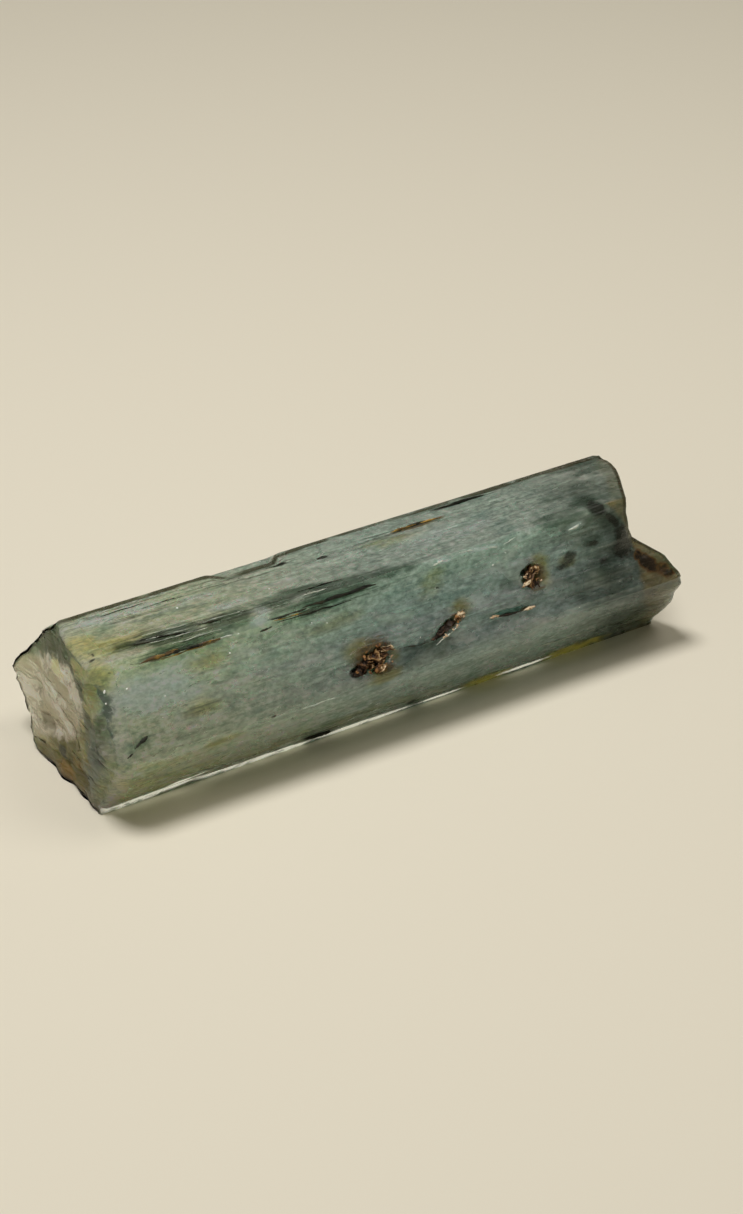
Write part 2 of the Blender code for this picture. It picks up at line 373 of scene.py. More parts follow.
SHADE = {
    TOP: (
        (-15.2, 0.65, 4.6, 1.9, 1.0, -3), (-17.8, 0.9, 2.8, 1.1, 0.8, -15), (-11.4, 0.45, 4.0, 1.4),
        (-8.2, 0.75, 3.2, 1.1), (-5.6, 1.05, 3.2, 1.0, 0.9, -8), (-3.4, 0.4, 5.6, 1.3),
        (0.2, 0.25, 4.4, 0.9, 0.85), (-13.5, 3.0, 6.0, 0.8, 0.5, -4), (15.4, 1.0, 2.2, 1.4, 0.8),
        (12.8, 0.3, 4.0, 0.9, 0.8), (15.0, 2.6, 4.0, 2.0, 0.45),
    ),
    FRONT: (
        (-15.0, 6.35, 4.6, 0.8), (-10.9, 6.5, 2.6, 0.7, 0.9), (-4.8, 6.4, 6.2, 0.9),
        (15.75, 6.45, 2.0, 1.2, 0.9, -50), (16.5, 5.3, 2.2, 1.4, 0.7, -60),
        (17.1, 3.8, 2.2, 1.8, 0.65, -60), (16.3, 3.2, 2.6, 1.4, 0.5, -40), (13.0, 6.45, 4.4, 0.7, 0.8),
        (14.2, 5.9, 3.6, 0.9, 0.6), (14.4, 4.6, 4.2, 0.9, 0.55), (14.5, 2.0, 7.5, 4.2, 0.6),
        (1.2, 0.8, 5.0, 2.2, 0.6), (7.9, 3.55, 1.5, 0.9, 0.7),
    ),
    LOWER_FRONT: (
        (18.6, 2.4, 6.5, 4.0, 0.65), (19.6, 4.6, 3.6, 2.4, 0.6),
    ),
}
# Yellowish stains: the haloes of the pits and two stretches of the lower edge.
STAIN = {
    FRONT: (
        (-2.0, 0.3, 2.0, 1.2), (-3.4, 2.45, 2.0, 1.1, 0.85, 35), (-1.2, 1.4, 0.9, 0.9, 0.9),
        (4.3, 3.05, 1.4, 1.0, 0.9), (10.65, 3.6, 1.0, 1.9), (12.8, 3.65, 1.5, 1.1, 0.9),
    ),
    LOWER_FRONT: (
        (-13.5, 5.1, 3.0, 0.4, 0.8),
    ),
}
# Yellow stains on stretches of the lower edge, with painted light where light comes through them: they also
# glow.
AMBER = {
    LOWER_FRONT: (
        (7.2, 0.3, 3.4, 1.1, 0.85, 2), (14.3, 0.25, 4.6, 1.1, 0.85, 3), (8.6, 0.55, 1.2, 0.4, 0.7),
        (15.8, 0.6, 2.0, 0.4, 0.7),
    ),
}
# Bundles of thin dark lines that run along the prism.
LINED = {
    TOP: (
        (-15.6, 0.9, 6.4, 1.9, 1.0, -4), (-11.2, 1.0, 4.6, 1.4, 0.85, -4), (-5.0, 0.8, 9.0, 1.2, 0.7, -3),
        (-16.8, 4.7, 9.0, 2.2, 0.95), (-8.0, 4.8, 8.0, 1.6, 0.85), (3.0, 4.4, 8.0, 0.9, 0.6),
        (9.0, 5.5, 7.0, 0.6),
    ),
    FRONT: (
        (-14.9, 6.3, 6.0, 0.9), (-5.0, 6.0, 9.5, 1.1, 0.9, 1), (-14.7, 2.2, 2.6, 0.9, 0.6),
        (15.0, 1.4, 6.0, 1.4, 0.5), (14.0, 5.4, 5.0, 1.6, 0.5),
    ),
    LOWER_FRONT: (
        (-16.0, 3.4, 9.0, 2.2, 0.5), (-5.0, 1.4, 12.0, 1.2, 0.7, -3),
    ),
}
SOOT = {
    TOP: (
        (-5.8, 4.7, 1.6, 0.5, 1.0, -8), (-2.8, 3.9, 0.8, 0.45, 0.9), (8.2, 5.22, 3.8, 0.3, 0.95),
        (-20.6, 0.75, 0.7, 0.26, 0.7, 30), (-20.35, 1.25, 0.6, 0.22, 0.7, -60), (4.5, 4.3, 1.3, 0.3, 0.9),
    ),
    FRONT: (
        (-4.15, 1.15, 0.8, 0.7), (2.7, 1.9, 1.7, 0.42, 1.0, 22), (9.5, 3.85, 0.6, 0.6, 0.9),
        (9.7, 2.95, 0.6, 0.4, 0.9), (7.6, 1.55, 1.5, 0.2, 0.9, -4), (3.0, 4.67, 0.5, 0.25, 0.7, -20),
    ),
    LOWER_FRONT: (
        (1.33, 0.85, 0.8, 0.7, 0.95, 20), (-5.8, 0.75, 2.3, 0.45, 1.0, -4),
    ),
}
# Soft black-green matter under the faces: a chain behind the broken end and small spots beside it.
GLOOM = {
    TOP: (
        (15.8, 0.15, 0.9, 0.6, 1.1, -30),
    ),
    FRONT: (
        (17.65, 3.9, 2.0, 1.4, 1.35, -65), (17.0, 3.2, 1.3, 1.0, 1.0, -30),
        (16.9, 5.3, 1.5, 0.55, 0.95, -60), (15.95, 6.45, 1.3, 0.95, 1.3, -45), (14.9, 4.3, 1.0, 0.4, 0.8),
        (15.6, 2.9, 0.9, 0.4, 0.7), (12.45, 3.6, 1.2, 0.7, 0.9, 20), (13.05, 3.85, 0.8, 0.8, 0.9),
    ),
}
# Soft brown matter sealed in the lobe of the right end.
CORE = {
    FRONT: (
        (18.95, 1.85, 2.1, 1.0, 0.95, -48), (18.4, 2.5, 0.9, 0.8, 0.85), (20.1, 1.0, 1.7, 1.1, 0.75, -30),
    ),
    LOWER_FRONT: (
        (20.9, 5.9, 1.6, 1.0, 0.4),
    ),
}
FROST = {
    TOP: (
        (-9.2, 0.4, 1.2, 0.8, 0.75), (-17.4, 4.6, 6.4, 2.0, 0.6), (-13.0, 3.6, 6.0, 1.6, 0.35),
        (-10.7, 1.9, 4.0, 0.8, 0.4), (5.5, 2.2, 8.0, 1.8, 0.45),
    ),
    FRONT: (
        (-9.6, 6.2, 1.4, 0.7, 0.85), (-17.6, 4.0, 6.0, 2.6, 0.95), (-9.0, 3.2, 14.0, 3.0, 0.3),
        (3.9, 6.3, 1.3, 0.4, 0.9), (-5.6, 4.95, 2.2, 0.6, 0.6), (12.6, 0.35, 1.9, 0.9, 0.5),
        (14.0, 5.74, 1.4, 0.5, 0.6, 8), (6.9, 6.25, 4.0, 0.3, 0.6, -4), (8.0, 4.4, 3.6, 1.3, 0.35),
        (4.4, 1.6, 4.0, 1.2, 0.3), (6.0, 3.2, 4.0, 1.8, 0.5), (8.0, 0.8, 5.0, 1.2, 0.4),
    ),
    LOWER_FRONT: (
        (-12.0, 5.0, 3.0, 0.5, 0.4), (-14.5, 3.6, 8.0, 1.6, 0.4),
    ),
}
# Painted light on the lower edge, where light gathers: pale stretches with gaps between.
BRIGHT_EDGE = {
    LOWER_FRONT: (
        (-17.6, 0.3, 6.6, 0.46, 1.0, 2), (-15.2, 0.85, 2.6, 0.3, 0.9, 6), (-11.0, 0.2, 6.2, 0.36),
        (-7.6, 0.15, 2.6, 0.32), (-2.2, 0.2, 7.0, 0.36), (3.7, 0.2, 3.4, 0.3, 0.9),
        (10.4, 0.3, 3.8, 0.34, 0.9),
    ),
}


# Marks on the left end: y, z, width, height, strength.
END_OLIVE = (
    (0.6, 8.1, 2.2, 1.3, 1.0), (-3.9, 8.2, 1.8, 2.6, 1.0), (-2.9, 9.9, 2.6, 1.4, 0.9),
    (-2.9, 5.9, 0.9, 1.2, 0.7),
)
END_RUST = ((-0.3, 0.8, 2.2, 1.4, 0.9), (-1.6, 2.2, 1.6, 1.4, 0.5))
# Dark spots on the left end, and painted shade in its hollow: the first two rows.
END_DARK_AND_SHADE = (
    (2.5, 2.9, 1.9, 1.2, 1.0), (1.9, 2.5, 0.8, 0.7, 0.6), (0.28, 1.95, 1.1, 0.8, 1.4),
    (0.2, 7.7, 0.8, 0.4, 0.6), (3.3, 3.7, 0.7, 0.9, 0.5),
)
END_GREY = ((-4.6, 4.4, 2.4, 3.8, 1.0), (-3.6, 2.2, 2.2, 3.0, 0.6))

# A mark is gone this many half sizes from its middle. Off its face its half size is half its width
# and this thickness.
MARK_REACH = 1.5
MARK_THICKNESS = 0.7
# The marks that each attribute of the body holds.
FACE_MARKS = {
    "rust": RUST, "olive": OLIVE, "shade": SHADE, "lined": LINED, "soot": SOOT, "frost": FROST,
    "core": CORE, "glow": BRIGHT_EDGE, "stain": STAIN, "gloom": GLOOM, "amber": AMBER,
}
END_MARKS = {
    "end_olive": END_OLIVE, "end_rust": END_RUST, "end_dark_and_shade": END_DARK_AND_SHADE, "end_grey": END_GREY,
}

# The frosted part of the left end: its corners as (y, z), anticlockwise as seen from +X.
FROSTED = np.array(
    [(8.1, 3.7), (6.6, 5.4), (2.3, 8.0), (-0.4, 9.2), (-1.8, 9.1), (-2.8, 7.8), (-3.05, 6.8), (-2.4, 5.3),
     (-0.7, 3.6), (3.4, 1.2), (5.1, 0.6), (7.5, 2.4)]
)


def mark_strength(places, side, x, up, length, width, most=1.0, turn=0.0):
    """Strength of one mark on a side at every place (x, y, z), fading over and under the face."""
    along = SIDE_ALONG[side]
    middle = CORNERS[side] + along * (SIDE_LENGTHS[side] - up)
    turn = math.radians(turn)
    section = places[:, 1:] - middle
    rise, out, run = -(section @ along), section @ SIDE_OUT[side], places[:, 0] - x
    first = (run * math.cos(turn) + rise * math.sin(turn)) / (length / 2)
    second = (rise * math.cos(turn) - run * math.sin(turn)) / (width / 2)
    reach = np.sqrt(first**2 + second**2 + (out / (width / 2 + MARK_THICKNESS)) ** 2)
    return most * np.clip(MARK_REACH - reach, 0.0, 1.0)


def painted(marks, places):
    """The strongest of the marks at every place: 1 well inside a mark, 0 outside."""
    strengths = [mark_strength(places, side, *row) for side, rows in marks.items() for row in rows]
    return np.max(strengths, axis=0)


# ---------------------------------------------------------------- helpers for meshes


def active_piece(name):
    piece = bpy.context.active_object
    piece.name = name
    piece.data.name = name
    return piece


def deselect_all():
    bpy.ops.object.select_all(action="DESELECT")


def finish_piece(piece, material, smooth_angle):
    """Gives a piece its material and shading and lets it ride on the only body."""
    piece.data.materials.clear()
    piece.data.materials.append(material)
    deselect_all()
    piece.select_set(True)
    bpy.context.view_layer.objects.active = piece
    bpy.ops.object.shade_smooth_by_angle(angle=math.radians(smooth_angle))
    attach(piece, BODY)


def mesh_points(mesh):
    return np.array([vertex.co[:] for vertex in mesh.vertices])


def set_coordinates(mesh, points):
    mesh.vertices.foreach_set("co", np.asarray(points, dtype=np.float32).ravel())
    mesh.update()


def add_attribute(mesh, name, values):
    attribute = mesh.attributes.new(name, "FLOAT", "POINT")
    attribute.data.foreach_set("value", np.asarray(values, dtype=np.float32))


def on_side(side, x, up, out):
    """The point, in millimetres, at a height above the lower edge of a side and off its surface."""
    along = SIDE_ALONG[side]
    y, z = CORNERS[side] + along * (SIDE_LENGTHS[side] - up) + SIDE_OUT[side] * out
    return Vector((x, y, z))


def side_turn(side, turn):
    """Rotation that lays local X along the prism and local Z out of a side, turned in its plane."""
    out = Vector((0.0, *SIDE_OUT[side]))
    rise = Vector((0.0, *-SIDE_ALONG[side]))
    run = Vector((1.0, 0.0, 0.0))
    angle = math.radians(turn)
    first = run * math.cos(angle) + rise * math.sin(angle)
    second = out.cross(first)
    return Matrix((first, second, out)).transposed()


def from_lump(local, lump):
    """Points given along the axes of a lump, at its place in the crystal."""
    place, _sizes, rotation = lump
    return local @ np.array(rotation).T + np.array(place)


def to_lump(points, lump):
    """Points of the crystal along the axes of a lump, from its middle."""
    place, _sizes, rotation = lump
    return (points - np.array(place)) @ np.array(rotation)


def joined_lumps(name, lumps, detail):
    """One mesh of round lumps: each is a place, the sizes along its own axes and its rotation."""
    deselect_all()
    bpy.ops.mesh.primitive_ico_sphere_add(subdivisions=detail, radius=1.0)
    piece = active_piece(name)
    start = mesh_points(piece.data)
    bpy.ops.object.mode_set(mode="EDIT")
    for _lump in lumps[1:]:
        bpy.ops.mesh.primitive_ico_sphere_add(subdivisions=detail, radius=1.0)
    bpy.ops.object.mode_set(mode="OBJECT")
    placed = [from_lump(start * np.array(lump[1]), lump) for lump in lumps]
    set_coordinates(piece.data, np.concatenate(placed) * MM)
    return piece


def reshape_lumps(piece, lumps, change):
    """Passes the points of each lump, in the crystal and along its own axes, through a function."""
    points = mesh_points(piece.data).reshape(len(lumps), -1, 3) / MM
    for row, lump in enumerate(lumps):
        local = change(row, points[row], to_lump(points[row], lump))
        points[row] = from_lump(local, lump)
    set_coordinates(piece.data, points.reshape(-1, 3) * MM)


def roughen(piece, amount, size, seed):
    """Pushes the surface in and out with noise of one size, in millimetres."""
    mesh = piece.data
    points = mesh_points(mesh) / MM
    normals = np.array([vertex.normal[:] for vertex in mesh.vertices])
    push = relief(seed, *(points / size).T)
    set_coordinates(mesh, (points + normals * (push * amount)[:, None]) * MM)


# ---------------------------------------------------------------- helpers for materials


class Nodes:
    """Adds and links nodes in one tree."""

    def __init__(self, tree):
        self.tree = tree

    def add(self, kind, **settings):
        node = self.tree.nodes.new(kind)
        for name, value in settings.items():
            setattr(node, name, value)
        return node

    def feed(self, socket, value):
        if isinstance(value, bpy.types.NodeSocket):
            self.tree.links.new(value, socket)
        elif socket.type == "RGBA":
            socket.default_value = (*value, 1.0)
        else:
            socket.default_value = value

    def fed(self, kind, values, **settings):
        """A node with values or links on its named or numbered inputs."""
        node = self.add(kind, **settings)
        for name, value in values.items():
            self.feed(node.inputs[name], value)
        return node

    def math(self, operation, first, second=0.0):
        return self.fed("ShaderNodeMath", {0: first, 1: second}, operation=operation).outputs[0]

    def times(self, first, second):
        return self.math("MULTIPLY", first, second)

    def plus(self, first, second):
        return self.math("ADD", first, second)

    def ramp(self, value, low, high, to_low=0.0, to_high=1.0):
        """to_low at low, to_high at high, softly clamped."""
        names = ("Value", "From Min", "From Max", "To Min", "To Max")
        values = dict(zip(names, (value, low, high, to_low, to_high)))
        return self.fed("ShaderNodeMapRange", values, interpolation_type="SMOOTHSTEP").outputs["Result"]

    def mix(self, factor, first, second, blend="MIX"):
        values = {"Factor": factor, 6: first, 7: second}
        return self.fed("ShaderNodeMix", values, data_type="RGBA", blend_type=blend).outputs[2]

    def tint(self, colour, source, low, high, tone, most=1.0, blend="MIX"):
        """The colour where the source is low, and a tone laid over it where the source is high."""
        return self.mix(self.ramp(source, low, high, 0.0, most), colour, tone, blend)

    def noise(self, vector, detail=3.0, roughness=0.55, distortion=0.0, scale=1.0):
        values = {"Vector": vector, "Scale": scale, "Detail": detail, "Roughness": roughness}
        return self.fed("ShaderNodeTexNoise", {**values, "Distortion": distortion}).outputs["Fac"]

    def cracks(self, vector, scale):
        values = {"Vector": vector, "Scale": scale}
        return self.fed("ShaderNodeTexVoronoi", values, feature="DISTANCE_TO_EDGE").outputs["Distance"]

    def vector(self, operation, first, second):
        node = self.fed("ShaderNodeVectorMath", {0: first, 1: second}, operation=operation)
        return node.outputs["Vector"]

    def stretched(self, vector, scale):
        return self.vector("MULTIPLY", vector, scale)

    def moved(self, vector, offset):
        return self.vector("ADD", vector, offset)

    def warped(self, vector, scale, amount):
        """Coordinates pushed about by noise, by up to half the amount, in metres."""
        clouds = self.fed("ShaderNodeTexNoise", {"Vector": vector, "Scale": scale})
        centred = self.moved(clouds.outputs["Color"], (-0.5, -0.5, -0.5))
        return self.moved(vector, self.stretched(centred, (amount, amount, amount)))

    def attribute(self, name):
        return self.add("ShaderNodeAttribute", attribute_name=name).outputs["Fac"]

    def place(self):
        return self.add("ShaderNodeTexCoord").outputs["Object"]

    def group(self, tree, **values):
        node = self.add("ShaderNodeGroup", node_tree=tree)
        for name, value in values.items():
            self.feed(node.inputs[name.replace("_", " ").capitalize()], value)
        return node.outputs

    def bump(self, height, strength, distance, normal=None):
        values = {"Height": height, "Strength": strength, "Distance": distance}
        if normal is not None:
            values["Normal"] = normal
        return self.fed("ShaderNodeBump", values).outputs["Normal"]


def new_material(name, maker=Nodes):
    """A new material, the maker of its nodes and its shader."""
    material = bpy.data.materials.new(name)
    material.use_nodes = True
    return material, maker(material.node_tree), material.node_tree.nodes["Principled BSDF"]


def new_group(name, inputs, outputs):
    """An empty shader group with named sockets: (name, type, default) in and (name, type) out."""
    tree = bpy.data.node_groups.new(name, "ShaderNodeTree")
    for label, kind, default in inputs:
        socket = tree.interface.new_socket(label, in_out="INPUT", socket_type=kind)
        socket.default_value = default
    for label, kind in outputs:
        tree.interface.new_socket(label, in_out="OUTPUT", socket_type=kind)
    nodes = Nodes(tree)
    return tree, nodes, nodes.add("NodeGroupInput").outputs, nodes.add("NodeGroupOutput").inputs


def ragged_mask_group():
    """Turns a soft mask into one with a ragged edge that follows the grain of the crystal."""
    name = "ragged mask"
    if name in bpy.data.node_groups:
        return bpy.data.node_groups[name]
    tree, nodes, source, result = new_group(
        name,
        (
            ("Mask", "NodeSocketFloat", 0.0),
            ("Place", "NodeSocketVector", (0.0, 0.0, 0.0)),
            ("Raggedness", "NodeSocketFloat", 0.5),
            ("Softness", "NodeSocketFloat", 0.15),
        ),
        (("Mask", "NodeSocketFloat"),),
    )
    edge = nodes.noise(source["Place"], 5.0, 0.65)
    swing = nodes.times(nodes.math("SUBTRACT", edge, 0.5), source["Raggedness"])
    moved = nodes.plus(source["Mask"], nodes.times(swing, 2.0))
    low = nodes.math("SUBTRACT", 0.5, source["Softness"])
    high = nodes.plus(0.5, source["Softness"])
    present = nodes.ramp(source["Mask"], 0.0, 0.12)
    nodes.feed(result["Mask"], nodes.times(nodes.ramp(moved, low, high), present))
    return tree


def rust_colour_group():
    """Mottled colours of iron crust, from black-brown through orange to cream grains."""
    name = "rust colours"
    if name in bpy.data.node_groups:
        return bpy.data.node_groups[name]
    tree, nodes, source, result = new_group(
        name,
        (
            ("Place", "NodeSocketVector", (0.0, 0.0, 0.0)),
            ("Dark", "NodeSocketColor", (0.09, 0.05, 0.015, 1.0)),
            ("Orange", "NodeSocketColor", (0.27, 0.16, 0.04, 1.0)),
            ("Cream", "NodeSocketColor", (0.42, 0.30, 0.12, 1.0)),
        ),
        (("Color", "NodeSocketColor"), ("Height", "NodeSocketFloat")),
    )
    coarse = nodes.noise(source["Place"], 4.0, 0.6, scale=2600.0)
    fine = nodes.noise(nodes.moved(source["Place"], (0.3, 0.1, 0.7)), 3.0, 0.6, scale=6500.0)
    colour = nodes.tint(source["Dark"], coarse, 0.40, 0.56, source["Orange"])
    nodes.feed(result["Color"], nodes.tint(colour, fine, 0.60, 0.70, source["Cream"]))
    nodes.feed(result["Height"], nodes.plus(coarse, nodes.times(fine, 0.5)))
    return tree


# ---------------------------------------------------------------- settings a user would change


class CrystalLook(PropertyGroup):
    left_colour: FloatVectorProperty(
        name="Left colour", description="Body colour near the etched end",
        subtype="COLOR", default=(0.80, 0.86, 0.66))
    middle_colour: FloatVectorProperty(
        name="Middle colour", description="Body colour halfway along",
        subtype="COLOR", default=(0.50, 0.615, 0.61))
    right_colour: FloatVectorProperty(
        name="Right colour", description="Body colour near the broken end",
        subtype="COLOR", default=(0.225, 0.285, 0.27))
    roughness: FloatProperty(
        name="Roughness", description="Roughness of the etched faces", default=0.2, min=0.0, max=1.0)
    transmission: FloatProperty(
        name="Transmission", description="Share of the light that goes through",
        default=0.6, min=0.0, max=1.0)


class CrystalStage(PropertyGroup):
    floor_size: FloatProperty(
        name="Floor size", description="Side of the square floor", default=3.0, unit="LENGTH")
    focal_length: FloatProperty(
        name="Focal length", description="Lens of the camera, in millimetres", default=77.1)


# ---------------------------------------------------------------- the crystal's body

# The ring radius, as a share, below which a point of the mesh lies in the face of an end.
RIM_RADIUS = 0.999
# How strongly the front chips go on over the left end itself.
END_CHIP = 0.5
# Widths of the painted shade line beside the rear top edge at places along it, and of the other painted shade
# lines.
TOP_LINE_PLACES = (-6.0, 0.0, 8.0)
TOP_LINE_WIDTHS = (0.6, 0.35, 0.45)
REAR_LINE_WIDTH = 0.4
LEFT_RIM_WIDTH = 0.25
RIGHT_RIM_WIDTH = 0.35
# Where the brown glassy zone begins at heights on the front face and on the face below it, and its
# weights on the top and on the face below.
TAN_HEIGHTS = (0.0, 2.3, 3.3, 4.9, 6.0, 6.7)
TAN_STARTS = (17.8, 18.0, 18.1, 17.5, 16.8, 16.4)
LOWER_TAN_HEIGHTS = (2.5, 4.5, 6.1)
LOWER_TAN_STARTS = (19.6, 18.4, 17.9)
TAN_WEIGHTS = [0.3, 0.55]
# How softly the frosted part of the left end begins.
FROSTED_EDGE = 1.4


def body_places(mesh):
    """Ring radius, row share, side and share of the side of every point of the round start."""
    points = np.empty(len(mesh.vertices) * 3, np.float32)
    mesh.vertices.foreach_get("co", points)
    x, y, z = points.reshape(-1, 3).astype(float).T
    steps = STEP_STARTS[-1]
    step = np.round((np.arctan2(y, x) / math.tau % 1.0) * steps).astype(int) % steps
    side = np.searchsorted(STEP_STARTS, step, side="right") - 1
    share = (step - STEP_STARTS[side]) / np.array(SIDE_STEPS)[side]
    ring = np.round(np.arccos(np.clip(z, -1.0, 1.0)) / math.pi * BODY_RINGS).astype(int)
    radius = np.minimum(np.minimum(ring, BODY_RINGS - ring) / END_RINGS, 1.0)
    row = np.clip(BODY_RINGS - ring - END_RINGS, 0, BODY_ROWS)
    return radius, row_shares()[row], side, share


def make_body():
    """The whole prism: the poles of a round mesh become the middles of its two ends."""
    deselect_all()
    bpy.ops.mesh.primitive_uv_sphere_add(
        segments=int(STEP_STARTS[-1]), ring_count=BODY_RINGS, radius=1.0, calc_uvs=False)
    piece = active_piece("crystal_body")
    radius, length_share, side, share = body_places(piece.data)
    section = CENTRE + (rounded_outline(side + share) - CENTRE) * radius[:, None]
    left, right = left_end(section), right_end(section)
    x = left + (right - left) * length_share
    depth = inset(side, share, x) + end_wear(side, share, x - left, right - x) * (side != BOTTOM)
    section = section - outward(side, share) * (depth * radius)[:, None]
    section[:, 1] = np.maximum(section[:, 1], 0.0)
    places = stacked(x, *section.T)
    set_coordinates(piece.data, places * MM)

    in_face = radius < RIM_RADIUS
    left_face = in_face & (length_share < 0.5)
    surface = stacked(x, *rounded_outline(side + share).T)
    from_front = np.minimum(inside_side(FRONT, section), inside_side(LOWER_FRONT, section))
    end_chip = END_CHIP * smooth(1.3 - from_front / 0.9) * left_face
    values = {
        name: painted(marks, np.where(in_face[:, None], places, surface))
        for name, marks in FACE_MARKS.items()
    }
    values.update((name, spotted(marks, section) * left_face) for name, marks in END_MARKS.items())
    values["left_face"] = left_face_mask(section) * left_face
    values["on_left_face"] = left_face * smooth((from_front - 0.2) / 1.8)
    values["tan"] = tan_mask(side, share, x, right) * (length_share > 0.5)
    values["chip"] = chip_band(side, share, x) * np.where(in_face, end_chip, 1.0)
    values["edge"] = edge_shade_mask(side, share, radius, x, left, right)
    for name, strength in values.items():
        add_attribute(piece.data, name, strength)
    return piece


def edge_shade_mask(side, share, radius, x, left, right):
    """Painted shade: thin dark lines along the rear top edge and round the rims of both ends."""
    length = SIDE_LENGTHS[side]
    line_width = np.interp(x, TOP_LINE_PLACES, TOP_LINE_WIDTHS)
    from_edge = np.where(side == TOP, share * length / line_width, FAR)
    from_edge = np.where(side == REAR_UPPER, (1.0 - share) * length / REAR_LINE_WIDTH, from_edge)
    uneven = smooth(0.75 + 1.3 * relief(11, x / 1.4, share * length / 0.5))
    along_top = smooth(1.3 - from_edge) * (0.4 + 0.6 * uneven) * (radius > RIM_RADIUS)
    on_rim = smooth((radius - 0.92) / 0.06)
    at_left = (side != FRONT) * (side != TOP) * (side != LOWER_FRONT)
    at_left = smooth(1.0 - (x - left) / LEFT_RIM_WIDTH) * on_rim * at_left
    at_right = smooth(1.3 - (right - x) / RIGHT_RIM_WIDTH) * on_rim
    return np.maximum(along_top, np.maximum(at_left, at_right))


def tan_mask(side, share, x, right):
    """The thin brownish glassy zone behind the broken end's front edge."""
    length = SIDE_LENGTHS[side]
    up = length - share * length
    start = np.interp(up, TAN_HEIGHTS, TAN_STARTS)
    start = np.where(side == TOP, np.maximum(16.6 + 0.5 * up, right - 1.4), start)
    lower_start = np.interp(up, LOWER_TAN_HEIGHTS, LOWER_TAN_STARTS)
    start = np.where(side == LOWER_FRONT, lower_start, start)
    ragged = 0.25 * relief(14, x / 0.8, up / 0.8)
    weight = np.select([side == TOP, side == LOWER_FRONT], TAN_WEIGHTS, 1.0)
    return smooth((x - start + ragged) / 0.5) * weight


def spotted(marks, section):
    """Strength of round marks on an end at points (y, z)."""
    strength = np.zeros(len(section))
    for y, z, width, height, most in marks:
        reach = np.hypot((section[:, 0] - y) / (width / 2), (section[:, 1] - z) / (height / 2))
        strength = np.maximum(strength, most * np.clip(MARK_REACH - reach, 0.0, 1.0))
    return strength


def left_face_mask(section):
    """The frosted part of the left end, between an olive foot and a glassy rear upper rim."""
    runs = np.roll(FROSTED, -1, axis=0) - FROSTED
    inside = np.full(len(section), FAR)
    for corner, run in zip(FROSTED, runs / np.hypot(*runs.T)[:, None]):
        inside = np.minimum(inside, (section - corner) @ np.array((-run[1], run[0])))
    return np.clip(0.5 + inside / FROSTED_EDGE, 0.0, 1.0)


# ---------------------------------------------------------------- the beryl's finish

# Pattern sizes, in bumps per metre along the prism, across it and up.
GRAIN = (500.0, 2600.0, 2600.0)
CLOUDY = (500.0, 1100.0, 1100.0)
SPOTTY = (1500.0, 2400.0, 2400.0)
AMBER_GRAIN = (1500.0, 3200.0, 3200.0)
END_GRAIN = (1300.0, 1300.0, 1300.0)
END_FLATTENING = (0.5, 0.55, 1.7)
# The noises of the beryl: size, detail, roughness and distortion.
NOISES = {
    "streaks": ((230.0, 5200.0, 5200.0), 4.0, 0.6),
    "threads": ((280.0, 5600.0, 5600.0), 2.0, 0.5),
    "clouds": ((260.0, 520.0, 520.0), 5.0, 0.6, 0.5),
    "mottle": ((1200.0, 1900.0, 1900.0), 5.0, 0.7, 0.4),
    "specks": ((2400.0, 3600.0, 3600.0), 2.0, 0.5),
    "grit": ((2600.0, 4200.0, 4200.0), 3.0, 0.6),
}
# Tints of the body: what they follow, where they begin and are full, colour, most and blend.
BROAD_TINTS = (
    # The first two are painted light: the top lighter and warmer above 8.5 mm, the lower faces lighter below
    # 5.6 mm.
    ("height", 0.0085, 0.0112, (1.18, 1.09, 0.97), 0.8, "MULTIPLY"),
    ("height", 0.0056, 0.0034, (1.30, 1.28, 1.20), 1.0, "MULTIPLY"),
    ("clouds", 0.46, 0.28, (0.66, 0.76, 0.76), 1.0, "MULTIPLY"),
    ("clouds", 0.52, 0.72, (0.80, 0.84, 0.78), 0.6),
)
FINE_TINTS = (
    ("streaks", 0.45, 0.33, (0.46, 0.54, 0.50), 0.5, "MULTIPLY"),
    ("streaks", 0.58, 0.72, (0.90, 0.94, 0.90), 0.45),
    ("specks", 0.70, 0.78, (0.10, 0.12, 0.08), 0.6),
)
# Painted marks: attribute, colour, strength, raggedness, softness, pattern size and blend.
STAIN_COATS = (
    ("olive", (0.85, 0.76, 0.40), 0.85, 0.9, 0.5, CLOUDY, "MULTIPLY"),
    ("shade", (0.22, 0.29, 0.24), 0.9, 0.9, 0.4, CLOUDY, "MULTIPLY"),
    ("stain", (0.36, 0.32, 0.07), 0.75, 0.9, 0.45, CLOUDY),
    ("gloom", (0.016, 0.020, 0.013), 0.92, 1.1, 0.42, SPOTTY),
    ("amber", (0.36, 0.31, 0.07), 0.7, 1.1, 0.5, AMBER_GRAIN),
)
FROST_COAT = ("frost", (0.82, 0.92, 0.90), 0.75, 0.9, 0.45, CLOUDY)
CHIP_COAT = ("chip", (0.15, 0.20, 0.16), 0.88, 1.0, 0.4, CLOUDY)
SOOT_COAT = ("soot", (0.012, 0.010, 0.006), 0.95, 0.7, 0.25)
END_COATS = (
    ("end_olive", (0.95, 0.88, 0.44), 0.9),
    ("end_rust", (0.64, 0.36, 0.06), 0.75),
    # The dark spots of the left end and the painted shade in its hollow.
    ("end_dark_and_shade", (0.10, 0.095, 0.05), 0.85),
)
BLACK = (0.0, 0.0, 0.0)
# Least roughness where each of these is full.
ROUGH_PLACES = (("rust", 0.85), ("on_end", 0.5), ("frost", 0.45))
BERYL_SETTINGS = {
    "Metallic": 0.0,
    "IOR": 1.58,
    "Subsurface Weight": 1.0,
    "Subsurface Radius": (0.7, 1.0, 0.9),
    "Subsurface Scale": 0.004,
    "Emission Strength": 0.5,
}
ABSORPTION_COLOUR = (0.33, 0.55, 0.52, 1.0)
ABSORPTION_DENSITY = 160.0


